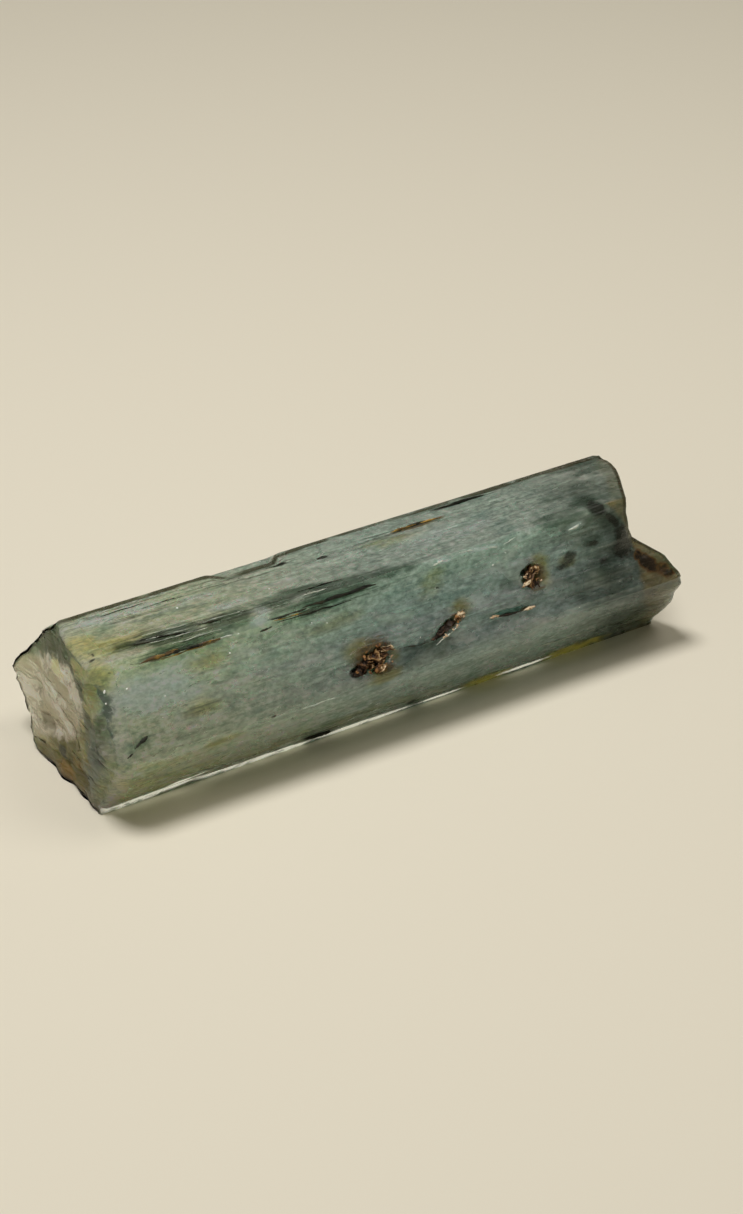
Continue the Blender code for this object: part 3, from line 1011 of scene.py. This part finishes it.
class BerylNodes(Nodes):
    """The beryl's nodes, with the places, noises and masks that its layers share."""

    def __init__(self, tree):
        super().__init__(tree)
        self.here = self.place()
        split = self.fed("ShaderNodeSeparateXYZ", {0: self.here})
        self.source = {"along": split.outputs["X"], "height": split.outputs["Z"]}
        for name, (size, *settings) in NOISES.items():
            self.source[name] = self.noise(self.stretched(self.here, size), *settings)

    def follow(self, colour, name, *settings):
        """A tint that follows one of the shared places or noises."""
        return self.tint(colour, self.source[name], *settings)

    def ragged(self, name, raggedness, softness, size):
        return self.group(
            ragged_mask_group(), mask=self.attribute(name), place=self.stretched(self.here, size),
            raggedness=raggedness, softness=softness)["Mask"]

    def mark(self, colour, name, tone, strength, raggedness=0.6, softness=0.25, size=GRAIN, blend="MIX"):
        """Lays a painted mark over the colour and keeps its mask."""
        self.source[name] = self.ragged(name, raggedness, softness, size)
        return self.mix(self.times(self.source[name], strength), colour, tone, blend)

    def mottled(self, colour, name, dark, light):
        """The colour darkened and lightened by one of the noises."""
        return self.mix(1.0, colour, self.follow(dark, name, 0.3, 0.7, light), "MULTIPLY")


def body_colour(nodes, look):
    """Mottled beryl that pales to the left end and darkens to the right one, with painted light on the top
    and the lower faces.
    """
    colour = nodes.follow(look.left_colour, "along", -0.020, 0.001, look.middle_colour)
    colour = nodes.follow(colour, "along", 0.011, 0.0180, look.right_colour)
    for tint in BROAD_TINTS:
        colour = nodes.follow(colour, *tint)
    colour = nodes.mottled(colour, "mottle", (0.70, 0.74, 0.72), (1.26, 1.26, 1.22))
    for tint in FINE_TINTS:
        colour = nodes.follow(colour, *tint)
    return colour


def stained_colour(nodes, colour):
    """The body's colour with its stains, lined bundles, frost and chips, and painted glints in the chips."""
    for coat in STAIN_COATS:
        colour = nodes.mark(colour, *coat)
    lined = nodes.times(nodes.attribute("lined"), nodes.ramp(nodes.source["threads"], 0.49, 0.42))
    colour = nodes.mix(nodes.times(lined, 0.85), colour, (0.07, 0.08, 0.05))
    colour = nodes.mark(colour, *FROST_COAT)
    colour = nodes.mottled(colour, "grit", (0.76, 0.78, 0.76), (1.24, 1.22, 1.22))
    colour = nodes.mark(colour, *CHIP_COAT)
    # Painted glints: light specks in the chipped zone.
    sparkle = nodes.times(nodes.ramp(nodes.source["specks"], 0.60, 0.68), nodes.source["chip"])
    return nodes.mix(sparkle, colour, (0.75, 0.82, 0.74))


def sealed_matter(nodes, colour):
    """The tan zone behind the broken end and the brown core of its lobe, seen through the faces."""
    mottle = nodes.source["mottle"]
    tan = nodes.times(nodes.attribute("tan"), nodes.ramp(nodes.source["clouds"], 0.35, 0.6, 0.65, 0.95))
    tan_colour = nodes.tint((0.20, 0.155, 0.06), mottle, 0.35, 0.65, (0.44, 0.34, 0.15))
    colour = nodes.mix(tan, colour, tan_colour)
    core_grain = nodes.plus(nodes.times(mottle, 0.9), nodes.times(nodes.source["grit"], 0.7))
    core = nodes.ramp(nodes.plus(nodes.attribute("core"), core_grain), 0.9, 1.8)
    core_colour = nodes.tint((0.20, 0.10, 0.03), core, 0.5, 1.0, (0.022, 0.010, 0.004))
    return nodes.tint(colour, core, 0.0, 0.6, core_colour)


def frosted_colour(nodes):
    """Cream frosting with curled shades, thin lines and creases."""
    source = nodes.source
    flat = nodes.stretched(nodes.here, END_FLATTENING)
    source["wisps"] = nodes.noise(nodes.warped(flat, 700.0, 0.0016), 3.0, 0.5, 0.4, scale=420.0)
    source["lines"] = nodes.math("ABSOLUTE", nodes.math("SUBTRACT", source["wisps"], 0.5))
    source["creases"] = nodes.cracks(nodes.warped(flat, 480.0, 0.0024), 340.0)
    frosted = nodes.follow((1.0, 0.97, 0.88), "wisps", 0.36, 0.64, (0.66, 0.61, 0.45))
    frosted = nodes.follow(frosted, "lines", 0.022, 0.0, (0.30, 0.27, 0.17), 0.45)
    broken = nodes.ramp(source["grit"], 0.42, 0.60)
    crease = nodes.times(nodes.ramp(source["creases"], 0.09, 0.0, 0.0, 0.65), broken)
    return nodes.mix(crease, frosted, (0.26, 0.23, 0.14))


def end_colour(nodes, frosted):
    """The left end: frosting over an olive foot and a glassy rim, with stained corners."""
    foot = nodes.follow((0.30, 0.26, 0.08), "wisps", 0.35, 0.65, (0.70, 0.64, 0.27))
    rim = nodes.follow((0.17, 0.18, 0.09), "wisps", 0.35, 0.65, (0.36, 0.38, 0.22))
    foot = nodes.follow(foot, "height", 0.0045, 0.0065, rim)
    colour = nodes.mix(nodes.ragged("end_grey", 0.8, 0.4, END_GRAIN), foot, (0.39, 0.44, 0.34))
    nodes.source["frosted"] = nodes.ragged("left_face", 0.7, 0.3, END_GRAIN)
    colour = nodes.mix(nodes.source["frosted"], colour, frosted)
    for coat in END_COATS:
        colour = nodes.mark(colour, *coat, size=END_GRAIN)
    return colour


def painted_glow(nodes, frosted):
    """Painted light: a glow for the frosted end, the amber stains and the bright lower edge, standing in for
    light that comes through the crystal.
    """
    # Painted light: the frosted end glows in its own colour, the amber stains in yellow.
    lit = nodes.mix(1.0, frosted, (0.31, 0.26, 0.19), "MULTIPLY")
    lit = nodes.mix(nodes.times(nodes.source["frosted"], nodes.source["on_end"]), BLACK, lit)
    lit = nodes.mix(nodes.source["amber"], lit, (0.13, 0.11, 0.015))
    return nodes.follow(lit, "glow", 0.1, 0.7, (1.0, 0.98, 0.78))


def beryl_roughness(nodes, look):
    rough = nodes.plus(nodes.ramp(nodes.source["clouds"], 0.35, 0.7, 0.0, 0.12), look.roughness)
    for name, least in ROUGH_PLACES:
        rough = nodes.math("MAXIMUM", rough, nodes.times(nodes.source[name], least))
    return nodes.math("MAXIMUM", rough, nodes.ramp(nodes.source["along"], -0.0190, -0.0204, 0.0, 0.55))


def beryl_relief(nodes, rusty):
    """Striations and pimples of the faces, grains of rust and furrows of the frosted end."""
    source = nodes.source
    off_end = nodes.math("SUBTRACT", 1.0, source["on_end"])
    furrows = nodes.plus(nodes.ramp(source["lines"], 0.0, 0.08), nodes.ramp(source["creases"], 0.0, 0.15))
    normal = None
    for height, strength, distance in (
        (nodes.times(source["streaks"], off_end), 0.4, 0.00010),
        (source["mottle"], 0.4, 0.00020),
        (nodes.times(rusty["Height"], source["rust"]), 0.7, 0.0003),
        (nodes.times(source["wisps"], source["on_end"]), 0.8, 0.0020),
        (nodes.times(furrows, source["on_end"]), 1.0, 0.0005),
    ):
        normal = nodes.bump(height, strength, distance, normal)
    return normal


def beryl_material(look):
    """Cloudy see-through beryl with its stains, crusts, painted shade as dark edges, and frosted end."""
    material, nodes, shader = new_material("etched_beryl", BerylNodes)
    source = nodes.source
    colour = sealed_matter(nodes, stained_colour(nodes, body_colour(nodes, look)))
    rusty = nodes.group(rust_colour_group(), place=nodes.here)
    colour = nodes.mark(colour, "rust", rusty["Color"], 0.9, 1.0)
    colour = nodes.mark(colour, *SOOT_COAT)
    # Painted light: the bright lower edge, laid pale into the colour; painted_glow also makes it glow.
    source["glow"] = nodes.times(nodes.attribute("glow"), nodes.ramp(source["mottle"], 0.36, 0.52, 0.45, 1.0))
    colour = nodes.mix(source["glow"], colour, (0.92, 0.95, 0.90))
    # Painted shade: a dark line along the rear top edge and the rims of both ends, on the faces and on the
    # left end.
    edge = nodes.ramp(nodes.plus(nodes.attribute("edge"), nodes.times(source["mottle"], 0.5)), 0.4, 1.0)
    colour = nodes.mix(nodes.times(edge, 0.9), colour, (0.085, 0.065, 0.03))
    frosted = frosted_colour(nodes)
    end = nodes.mix(nodes.times(edge, 0.85), end_colour(nodes, frosted), (0.10, 0.085, 0.04))
    source["on_end"] = nodes.attribute("on_left_face")
    nodes.feed(shader.inputs["Base Color"], nodes.mix(source["on_end"], colour, end))
    nodes.feed(shader.inputs["Roughness"], beryl_roughness(nodes, look))
    nodes.feed(shader.inputs["Emission Color"], painted_glow(nodes, frosted))
    nodes.feed(shader.inputs["Normal"], beryl_relief(nodes, rusty))
    shader.inputs["Transmission Weight"].default_value = look.transmission
    for name, value in BERYL_SETTINGS.items():
        shader.inputs[name].default_value = value
    absorb = nodes.add("ShaderNodeVolumeAbsorption")
    absorb.inputs["Color"].default_value = ABSORPTION_COLOUR
    absorb.inputs["Density"].default_value = ABSORPTION_DENSITY
    out = material.node_tree.nodes["Material Output"]
    nodes.feed(out.inputs["Volume"], absorb.outputs["Volume"])
    return material


class CRYSTAL_OT_body(Operator):
    """Shapes the prism with its grooved sides, frosted left end, broken right end and pits"""

    bl_idname = "crystal.body"
    bl_label = "Crystal body"

    def execute(self, context):
        piece = make_body()
        finish_piece(piece, beryl_material(context.scene.crystal_look), 35.0)
        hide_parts(NODE)
        return {"FINISHED"}


# ---------------------------------------------------------------- crumbs in the pits

# Crusts on the front face: x, height, length, width, half thickness, turn, depth of the middle and
# how light they are.
CRUSTS = (
    (-2.5, 1.5, 1.9, 1.3, 0.42, 12, 0.3, -0.1), (-3.45, 1.3, 1.3, 0.8, 0.35, 30, 0.32, -0.5),
    (-3.85, 1.0, 0.6, 0.5, 0.25, 0, 0.22, -0.9), (-1.55, 1.95, 1.3, 0.35, 0.2, -4, 0.1, 0.25),
    (-2.2, 0.85, 1.1, 0.45, 0.25, 10, 0.15, 0.3), (4.05, 2.55, 0.7, 0.5, 0.25, 40, 0.15, 0.25),
    (3.05, 2.05, 1.3, 0.5, 0.26, 22, 0.22, -0.85), (2.35, 1.82, 0.9, 0.35, 0.2, 34, 0.16, -0.8),
    (1.95, 1.62, 0.6, 0.2, 0.15, 14, 0.1, -0.7), (9.8, 3.3, 0.7, 1.5, 0.34, -12, 0.24, -0.35),
    (10.25, 3.8, 0.8, 0.6, 0.25, 20, 0.14, 0.1), (10.2, 2.85, 0.5, 0.5, 0.2, 0, 0.12, -0.6),
    (9.4, 3.1, 0.9, 0.25, 0.2, 24, 0.08, 0.35), (9.15, 1.52, 0.8, 0.2, 0.1, 4, 0.04, 0.4),
    (7.55, 1.57, 2.0, 0.13, 0.1, -4, 0.06, -0.9), (6.45, 1.72, 0.5, 0.12, 0.08, 0, 0.04, 0.2),
)
# Heaps of crumbs: x, height on the front face, length, width, turn, depth of the pit, how many.
RUST_HEAPS = (
    (-2.6, 1.55, 3.0, 1.9, 14, 0.15, 12), (4.0, 2.45, 1.1, 0.6, 25, 0.1, 4),
    (10.1, 3.55, 1.1, 1.6, 0, 0.15, 3),
)
CREAM_HEAPS = (
    (-1.9, 1.15, 1.3, 1.1, 14, 0.05, 7), (2.9, 1.62, 1.9, 0.1, 22, 0.02, 9),
    (4.2, 2.5, 0.5, 0.3, 25, 0.0, 5), (9.9, 3.4, 0.5, 1.5, 60, 0.0, 6), (6.5, 1.72, 0.5, 0.12, 0, 0.0, 4),
    (9.3, 1.5, 0.8, 0.14, 8, 0.0, 7),
)


# How many of the crusts are the large ones, which have the finer mesh.
LARGE_CRUSTS = 5
# Spans of a crumb's length, width and thickness, as shares of its size.
CRUMB_SPANS = ((0.8, 1.7), (0.6, 1.0), (0.5, 0.9))


def make_crusts(name, rows, seed, detail):
    """Flat lumps of crust with ragged outlines and jagged ridges, sunk in their pits."""
    lumps = []
    for x, up, length, width, thickness, turn, depth, _tone in rows:
        sizes = (length / 2, width / 2, thickness)
        lumps.append((on_side(FRONT, x, up, -depth), sizes, side_turn(FRONT, turn)))
    piece = joined_lumps(name, lumps, detail)
    crests = []

    def ragged_crust(row, points, local):
        sizes = lumps[row][1]
        angle = np.arctan2(local[:, 1] / sizes[1], local[:, 0] / sizes[0])
        arms = 0.34 * relief(seed + row, 1.6 * np.cos(angle), 1.6 * np.sin(angle))
        arms += 0.30 * relief(seed + row + 20, 4.5 * np.cos(angle), 4.5 * np.sin(angle))
        local[:, :2] *= (1.0 + 1.3 * arms)[:, None]
        large = 1.0 - 3.4 * np.abs(relief(seed, *(points / 0.62).T))
        small = 0.75 - 3.4 * np.abs(relief(seed + 1, *(points / 0.30).T))
        ridge = np.maximum(np.maximum(large, small), -0.6)
        ridge += 0.25 * relief(seed + 2, *(points / 0.10).T)
        reach = min(sizes[2], 0.35)
        local[:, 2] += np.where(local[:, 2] > -0.1 * sizes[2], (ridge - 0.8) * 0.7 * reach, 0.0)
        crests.append(ridge + rows[row][-1])
        return local

    reshape_lumps(piece, lumps, ragged_crust)
    add_attribute(piece.data, "crest", np.concatenate(crests))
    return piece


def crust_material():
    """Iron crust: near-black in the hollows, brown on the slopes, tan and cream on the ridges."""
    material, nodes, shader = new_material("iron_crust")
    mottle = nodes.noise(nodes.place(), 4.0, 0.65, 0.3, scale=3200.0)
    level = nodes.plus(nodes.attribute("crest"), nodes.times(mottle, 1.2))
    colour = nodes.tint((0.022, 0.011, 0.005), level, 0.4, 1.0, (0.11, 0.050, 0.016))
    colour = nodes.tint(colour, level, 1.05, 1.4, (0.34, 0.20, 0.075))
    colour = nodes.tint(colour, level, 1.45, 1.75, (0.78, 0.64, 0.44))
    nodes.feed(shader.inputs["Base Color"], colour)
    shader.inputs["Roughness"].default_value = 0.65
    nodes.feed(shader.inputs["Normal"], nodes.bump(mottle, 0.6, 0.00012))
    return material


def heap_lumps(heaps, sizes, seed):
    """Crumbs scattered in ovals on the front face, sunk to the floor of their pit."""
    draw = random.Random(seed)
    lumps = []
    for x, up, length, width, turn, depth, count in heaps:
        turn = math.radians(turn)
        for _crumb in range(count):
            reach, angle = math.sqrt(draw.random()), draw.uniform(0.0, math.tau)
            first, second = math.cos(angle) * reach * length / 2, math.sin(angle) * reach * width / 2
            run = first * math.cos(turn) - second * math.sin(turn)
            rise = first * math.sin(turn) + second * math.cos(turn)
            size = draw.uniform(*sizes)
            sunk = -depth * (1.0 - reach**2) + size * 0.3
            spin_angle = draw.uniform(0, math.tau)
            spin = Matrix.Rotation(spin_angle, 3, Vector((draw.random(), 1.0, draw.random())))
            shape = tuple(size * draw.uniform(*span) for span in CRUMB_SPANS)
            lumps.append((on_side(FRONT, x + run, up + rise, sunk), shape, spin))
    return lumps


def crumb_material(name, dark, orange, cream, roughness):
    """Mottled rust in three colours, with a grainy bump."""
    material, nodes, shader = new_material(name)
    colours = {"dark": dark, "orange": orange, "cream": cream}
    rusty = nodes.group(rust_colour_group(), place=nodes.place(), **colours)
    nodes.feed(shader.inputs["Base Color"], rusty["Color"])
    shader.inputs["Roughness"].default_value = roughness
    nodes.feed(shader.inputs["Normal"], nodes.bump(rusty["Height"], 0.6, 0.00015))
    return material


class CRYSTAL_OT_crumbs(Operator):
    """Fills the pits with dark iron crusts and with rusty and cream crumbs"""

    bl_idname = "crystal.crumbs"
    bl_label = "Crumbs in the pits"

    def execute(self, context):
        crust = crust_material()
        finish_piece(make_crusts("large_crusts", CRUSTS[:LARGE_CRUSTS], 41, 6), crust, 30.0)
        finish_piece(make_crusts("small_crusts", CRUSTS[LARGE_CRUSTS:], 46, 5), crust, 30.0)
        kinds = (
            ("rust_crumbs", RUST_HEAPS, (0.06, 0.14), 3,
             ((0.06, 0.025, 0.01), (0.34, 0.16, 0.05), (0.60, 0.42, 0.24)), 0.75),
            ("cream_crumbs", CREAM_HEAPS, (0.035, 0.09), 9,
             ((0.35, 0.20, 0.10), (0.66, 0.50, 0.33), (0.88, 0.80, 0.66)), 0.7),
        )
        for name, heaps, sizes, seed, colours, roughness in kinds:
            piece = joined_lumps(name, heap_lumps(heaps, sizes, seed), 3)
            roughen(piece, 0.05, 0.09, seed)
            roughen(piece, 0.02, 0.04, seed + 1)
            finish_piece(piece, crumb_material(name, *colours, roughness), 25.0)
        return {"FINISHED"}


# ---------------------------------------------------------------- tubes, threads and glints

# How deep the middle of a spindle lies in its face and how far it sways, in millimetres.
SPINDLE_SUNK = 0.05
SPINDLE_SWAY = 0.07
# Slender growths in the faces: side, x, height, length, width, and where they aren't 0, the turn and
# how far out of the face.
DARK_TUBES = (
    (FRONT, -14.9, 5.92, 2.8, 0.22), (FRONT, -3.9, 6.13, 5.4, 0.17), (FRONT, -2.6, 6.17, 2.8, 0.14, 1),
    (FRONT, -7.5, 6.0, 2.6, 0.12, -1), (FRONT, -5.7, 5.68, 5.6, 0.09, -1),
    (FRONT, -9.3, 5.52, 0.9, 0.11, 4), (TOP, -15.7, 0.85, 3.8, 0.12, -13, -0.03),
    (TOP, -16.4, 0.62, 3.4, 0.07, -12, -0.02), (TOP, -12.6, 0.8, 1.6, 0.1, -8, -0.02),
    (TOP, -4.6, 0.95, 3.4, 0.08, -3, -0.02), (TOP, 8.3, 5.2, 4.3, 0.13), (TOP, 4.6, 4.3, 1.6, 0.12),
    (TOP, -16.6, 4.9, 3.6, 0.06), (TOP, -14.0, 4.4, 3.0, 0.05), (FRONT, -19.2, 1.3, 1.2, 0.22, 27, 0.02),
    (FRONT, -20.1, 0.72, 0.5, 0.08, 24, 0.02), (LOWER_FRONT, -5.8, 0.75, 2.2, 0.2, -5),
    (FRONT, 0.3, 1.6, 2.4, 0.06, -5), (FRONT, -10.3, 0.18, 0.4, 0.09, 8),
    (FRONT, 11.0, 4.36, 0.6, 0.1, 18),
)
RUST_TUBES = (
    (FRONT, -16.7, 5.98, 2.4, 0.16, 1), (FRONT, -16.2, 6.05, 1.8, 0.1),
    (FRONT, -13.2, 5.9, 2.2, 0.13, -2), (FRONT, -15.1, 5.78, 3.8, 0.07), (TOP, 3.5, 4.2, 2.0, 0.13),
    (TOP, 5.6, 4.18, 1.7, 0.12), (FRONT, -7.4, 5.84, 2.6, 0.07, -2),
)
PALE_THREADS = (
    (LOWER_FRONT, 6.1, 4.72, 2.9, 0.07), (LOWER_FRONT, 12.8, 2.8, 5.2, 0.07, -4),
    (FRONT, -7.1, 0.05, 2.3, 0.06), (LOWER_FRONT, -11.7, 1.03, 0.9, 0.1, 0, 0.02),
    (LOWER_FRONT, -14.2, 1.5, 3.8, 0.08, -9), (TOP, -15.2, 0.85, 3.4, 0.05, -5),
    (TOP, -14.9, 0.4, 3.8, 0.05, -4), (TOP, -15.5, 1.45, 3.2, 0.05, -6),
    (FRONT, -14.0, 6.45, 3.6, 0.05, -1), (TOP, -11.6, 0.9, 3.0, 0.05, -3), (TOP, -5.5, 0.4, 2.2, 0.06),
    (FRONT, 5.7, 6.35, 1.2, 0.07, -8), (FRONT, 7.5, 6.1, 0.9, 0.06, -6),
    (FRONT, 8.9, 6.15, 1.1, 0.07, 14), (FRONT, -12.0, 5.86, 0.9, 0.1, -4, 0.03),
    (FRONT, 2.9, 1.55, 2.2, 0.06, 22), (TOP, -15.5, 5.35, 5.0, 0.06), (TOP, -17.5, 4.2, 3.6, 0.06),
    (FRONT, 3.4, 6.2, 0.8, 0.1, 10, 0.03), (FRONT, 13.85, 5.64, 0.9, 0.14, 6),
    (FRONT, 14.2, 5.8, 0.7, 0.12, 14),
)
# Painted glints, small white flakes whose colour stands in for glints of light: side, x, height and size.
GLINTS = (
    (TOP, -13.58, 3.21, 0.08), (FRONT, -12.08, 4.84, 0.07), (FRONT, -16.93, 3.56, 0.06),
    (FRONT, -19.18, 4.7, 0.08), (FRONT, 7.29, 4.98, 0.07), (FRONT, -20.5, 4.9, 0.1),
    (FRONT, -20.6, 4.2, 0.07), (FRONT, 3.5, 6.25, 0.08), (FRONT, 14.4, 5.82, 0.04),
    (FRONT, -6.2, 5.05, 0.04), (FRONT, -5.2, 4.75, 0.04), (FRONT, 12.8, 0.5, 0.04),
    (FRONT, 8.4, 5.5, 0.04), (TOP, -9.4, 1.7, 0.04), (TOP, -7.6, 2.2, 0.04), (FRONT, -11.2, 5.8, 0.04),
    (TOP, 5.8, 3.2, 0.04), (LOWER_FRONT, -20.8, 1.4, 0.05), (FRONT, 0.9, 2.0, 0.04),
    (FRONT, 16.3, 1.3, 0.04),
)


def slender(side, x, up, length, width, turn=0.0, out=0.0):
    """A spindle lying in a face: its place, its three half sizes and its rotation."""
    half_sizes = (length / 2, width / 2, width / 2)
    return on_side(side, x, up, out - SPINDLE_SUNK), half_sizes, side_turn(side, turn)


def make_spindles(name, rows, seed):
    """Long pointed slivers: round lumps drawn out along the prism, pinched and swayed by noise."""
    lumps = [slender(*row) for row in rows]
    piece = joined_lumps(name, lumps, 5)

    def pinched(row, _points, local):
        run = local[:, 0]
        pinch = 1.0 + 0.9 * line_relief(seed + row, run / 0.6) + 0.5 * line_relief(seed - row, run / 0.14)
        local[:, 1:] *= np.clip(pinch, 0.45, 1.5)[:, None]
        local[:, 1] += SPINDLE_SWAY * line_relief(seed + row + 5, run / 0.9)
        return local

    reshape_lumps(piece, lumps, pinched)
    roughen(piece, 0.02, 0.10, seed)
    return piece


def plain_material(name, colour, second, roughness, scale):
    """Two colours mottled along the grain, with a fine bump."""
    material, nodes, shader = new_material(name)
    mottle = nodes.noise(nodes.stretched(nodes.place(), (scale * 0.4, scale, scale)), 4.0, 0.6)
    nodes.feed(shader.inputs["Base Color"], nodes.tint(colour, mottle, 0.4, 0.6, second))
    shader.inputs["Roughness"].default_value = roughness
    nodes.feed(shader.inputs["Normal"], nodes.bump(mottle, 0.5, 0.0001))
    return material


class CRYSTAL_OT_tubes(Operator):
    """Lays dark and rusty growth tubes and pale cracks along the faces"""

    bl_idname = "crystal.tubes"
    bl_label = "Tubes and cracks"

    def execute(self, context):
        for name, rows, seed, material in (
            ("dark_tubes", DARK_TUBES, 31,
             ("dark_tube_lining", (0.010, 0.011, 0.006), (0.030, 0.026, 0.012), 0.8, 3000.0)),
            ("rusty_tubes", RUST_TUBES, 32,
             ("rusty_tube_lining", (0.42, 0.26, 0.05), (0.10, 0.055, 0.015), 0.7, 2500.0)),
            ("pale_threads", PALE_THREADS, 33,
             ("healed_crack", (0.74, 0.78, 0.68), (0.42, 0.48, 0.42), 0.4, 3000.0)),
        ):
            finish_piece(make_spindles(name, rows, seed), plain_material(*material), 40.0)
        return {"FINISHED"}


class CRYSTAL_OT_glints(Operator):
    """Sets small white flakes, painted glints that stand in for glints of light"""

    bl_idname = "crystal.glints"
    bl_label = "Glints"

    def execute(self, context):
        draw = random.Random(17)
        lumps = []
        for side, x, up, size in GLINTS:
            shape = (size * draw.uniform(0.8, 1.4), size * draw.uniform(0.6, 1.0), size * 0.4)
            sunk = WORN_END_DEPTH if x < WORN_END_X else 0.0
            place = on_side(side, x, up, -sunk)
            lumps.append((place, shape, side_turn(side, draw.uniform(-60, 60))))
        piece = joined_lumps("glints", lumps, 2)
        roughen(piece, 0.03, 0.08, 3)
        material = plain_material("painted_glint_flake", (0.95, 0.96, 0.92), (0.85, 0.88, 0.84), 0.15, 4000.0)
        finish_piece(piece, material, 15.0)
        return {"FINISHED"}


# ---------------------------------------------------------------- the stage

CAMERA_AZIMUTH = math.radians(-30.7)
CAMERA_ELEVATION = math.radians(33.3)
CAMERA_PLACE = Vector((-72.23, -123.69, 100.0)) * MM
SENSOR_WIDTH = 36.0
NEAREST_SEEN = 0.005
FLOOR_COLOUR = (0.77, 0.72, 0.61, 1.0)
FLOOR_ROUGHNESS = 0.85
ROOM_COLOUR = (1.0, 0.93, 0.64, 1.0)
ROOM_STRENGTH = 0.10
# Soft round lamps aimed at the crystal: name, place, width, power and colour.
LAMPS = (
    ("lamp", (-0.062, 0.026, 0.30), 0.11, 0.67, (1.0, 0.98, 0.95)),
    ("right_lamp", (0.12, -0.035, 0.29), 0.16, 0.18, (1.0, 0.97, 0.88)),
    ("left_lamp", (-0.34, -0.10, 0.16), 0.30, 0.08, (1.0, 0.99, 0.96)),
)


def view_back(azimuth, elevation):
    """Unit vector from the object towards the camera."""
    level = math.cos(elevation)
    return Vector((math.sin(azimuth) * level, -math.cos(azimuth) * level, math.sin(elevation)))


def add_lamp(name, place, size, power, colour):
    data = bpy.data.lights.new(name, "AREA")
    data.shape = "DISK"
    data.size = size
    data.energy = power
    data.color = colour
    light = bpy.data.objects.new(name, data)
    light.location = place
    light.rotation_euler = Vector(place).to_track_quat("Z", "Y").to_euler()
    light.visible_camera = False
    bpy.context.scene.collection.objects.link(light)


def add_camera(focal_length):
    data = bpy.data.cameras.new("camera")
    data.lens = focal_length
    data.sensor_width = SENSOR_WIDTH
    data.clip_start = NEAREST_SEEN
    camera = bpy.data.objects.new("camera", data)
    camera.location = CAMERA_PLACE
    back = view_back(CAMERA_AZIMUTH, CAMERA_ELEVATION)
    camera.rotation_euler = back.to_track_quat("Z", "Y").to_euler()
    bpy.context.scene.collection.objects.link(camera)
    bpy.context.scene.camera = camera


def add_room():
    world = bpy.data.worlds.new("soft_room")
    world.use_nodes = True
    background = world.node_tree.nodes["Background"]
    background.inputs["Color"].default_value = ROOM_COLOUR
    background.inputs["Strength"].default_value = ROOM_STRENGTH
    bpy.context.scene.world = world


class CRYSTAL_OT_stage(Operator):
    """Adds the pale floor, the soft lights and the camera"""

    bl_idname = "crystal.stage"
    bl_label = "Stage"

    def execute(self, context):
        settings = context.scene.crystal_stage
        deselect_all()
        bpy.ops.mesh.primitive_plane_add(size=settings.floor_size, location=(0, 0, 0))
        floor = active_piece("floor")
        paper, _nodes, shader = new_material("pale_paper")
        shader.inputs["Base Color"].default_value = FLOOR_COLOUR
        shader.inputs["Roughness"].default_value = FLOOR_ROUGHNESS
        floor.data.materials.append(paper)
        for lamp in LAMPS:
            add_lamp(*lamp)
        add_room()
        add_camera(settings.focal_length)
        context.scene.view_settings.view_transform = "Standard"
        return {"FINISHED"}


class CRYSTAL_PT_panel(Panel):
    """Lists the crystal's pieces"""

    bl_label = "Aquamarine crystal"
    bl_idname = "CRYSTAL_PT_panel"
    bl_space_type = "VIEW_3D"
    bl_region_type = "UI"
    bl_category = "Crystal"

    def draw(self, context):
        for operator in OPERATORS:
            self.layout.operator(operator.bl_idname)


SETTINGS = (CrystalLook, CrystalStage)
OPERATORS = (CRYSTAL_OT_body, CRYSTAL_OT_crumbs, CRYSTAL_OT_tubes, CRYSTAL_OT_glints, CRYSTAL_OT_stage)


def register():
    for cls in (*SETTINGS, *OPERATORS, CRYSTAL_PT_panel):
        bpy.utils.register_class(cls)
    bpy.types.Scene.crystal_look = PointerProperty(type=CrystalLook)
    bpy.types.Scene.crystal_stage = PointerProperty(type=CrystalStage)


def unregister():
    del bpy.types.Scene.crystal_stage
    del bpy.types.Scene.crystal_look
    for cls in reversed((*SETTINGS, *OPERATORS, CRYSTAL_PT_panel)):
        bpy.utils.unregister_class(cls)


def main():
    register()
    bpy.ops.crystal.body()
    bpy.ops.crystal.crumbs()
    bpy.ops.crystal.tubes()
    bpy.ops.crystal.glints()
    bpy.ops.crystal.stage()


if __name__ == "__main__":
    main()
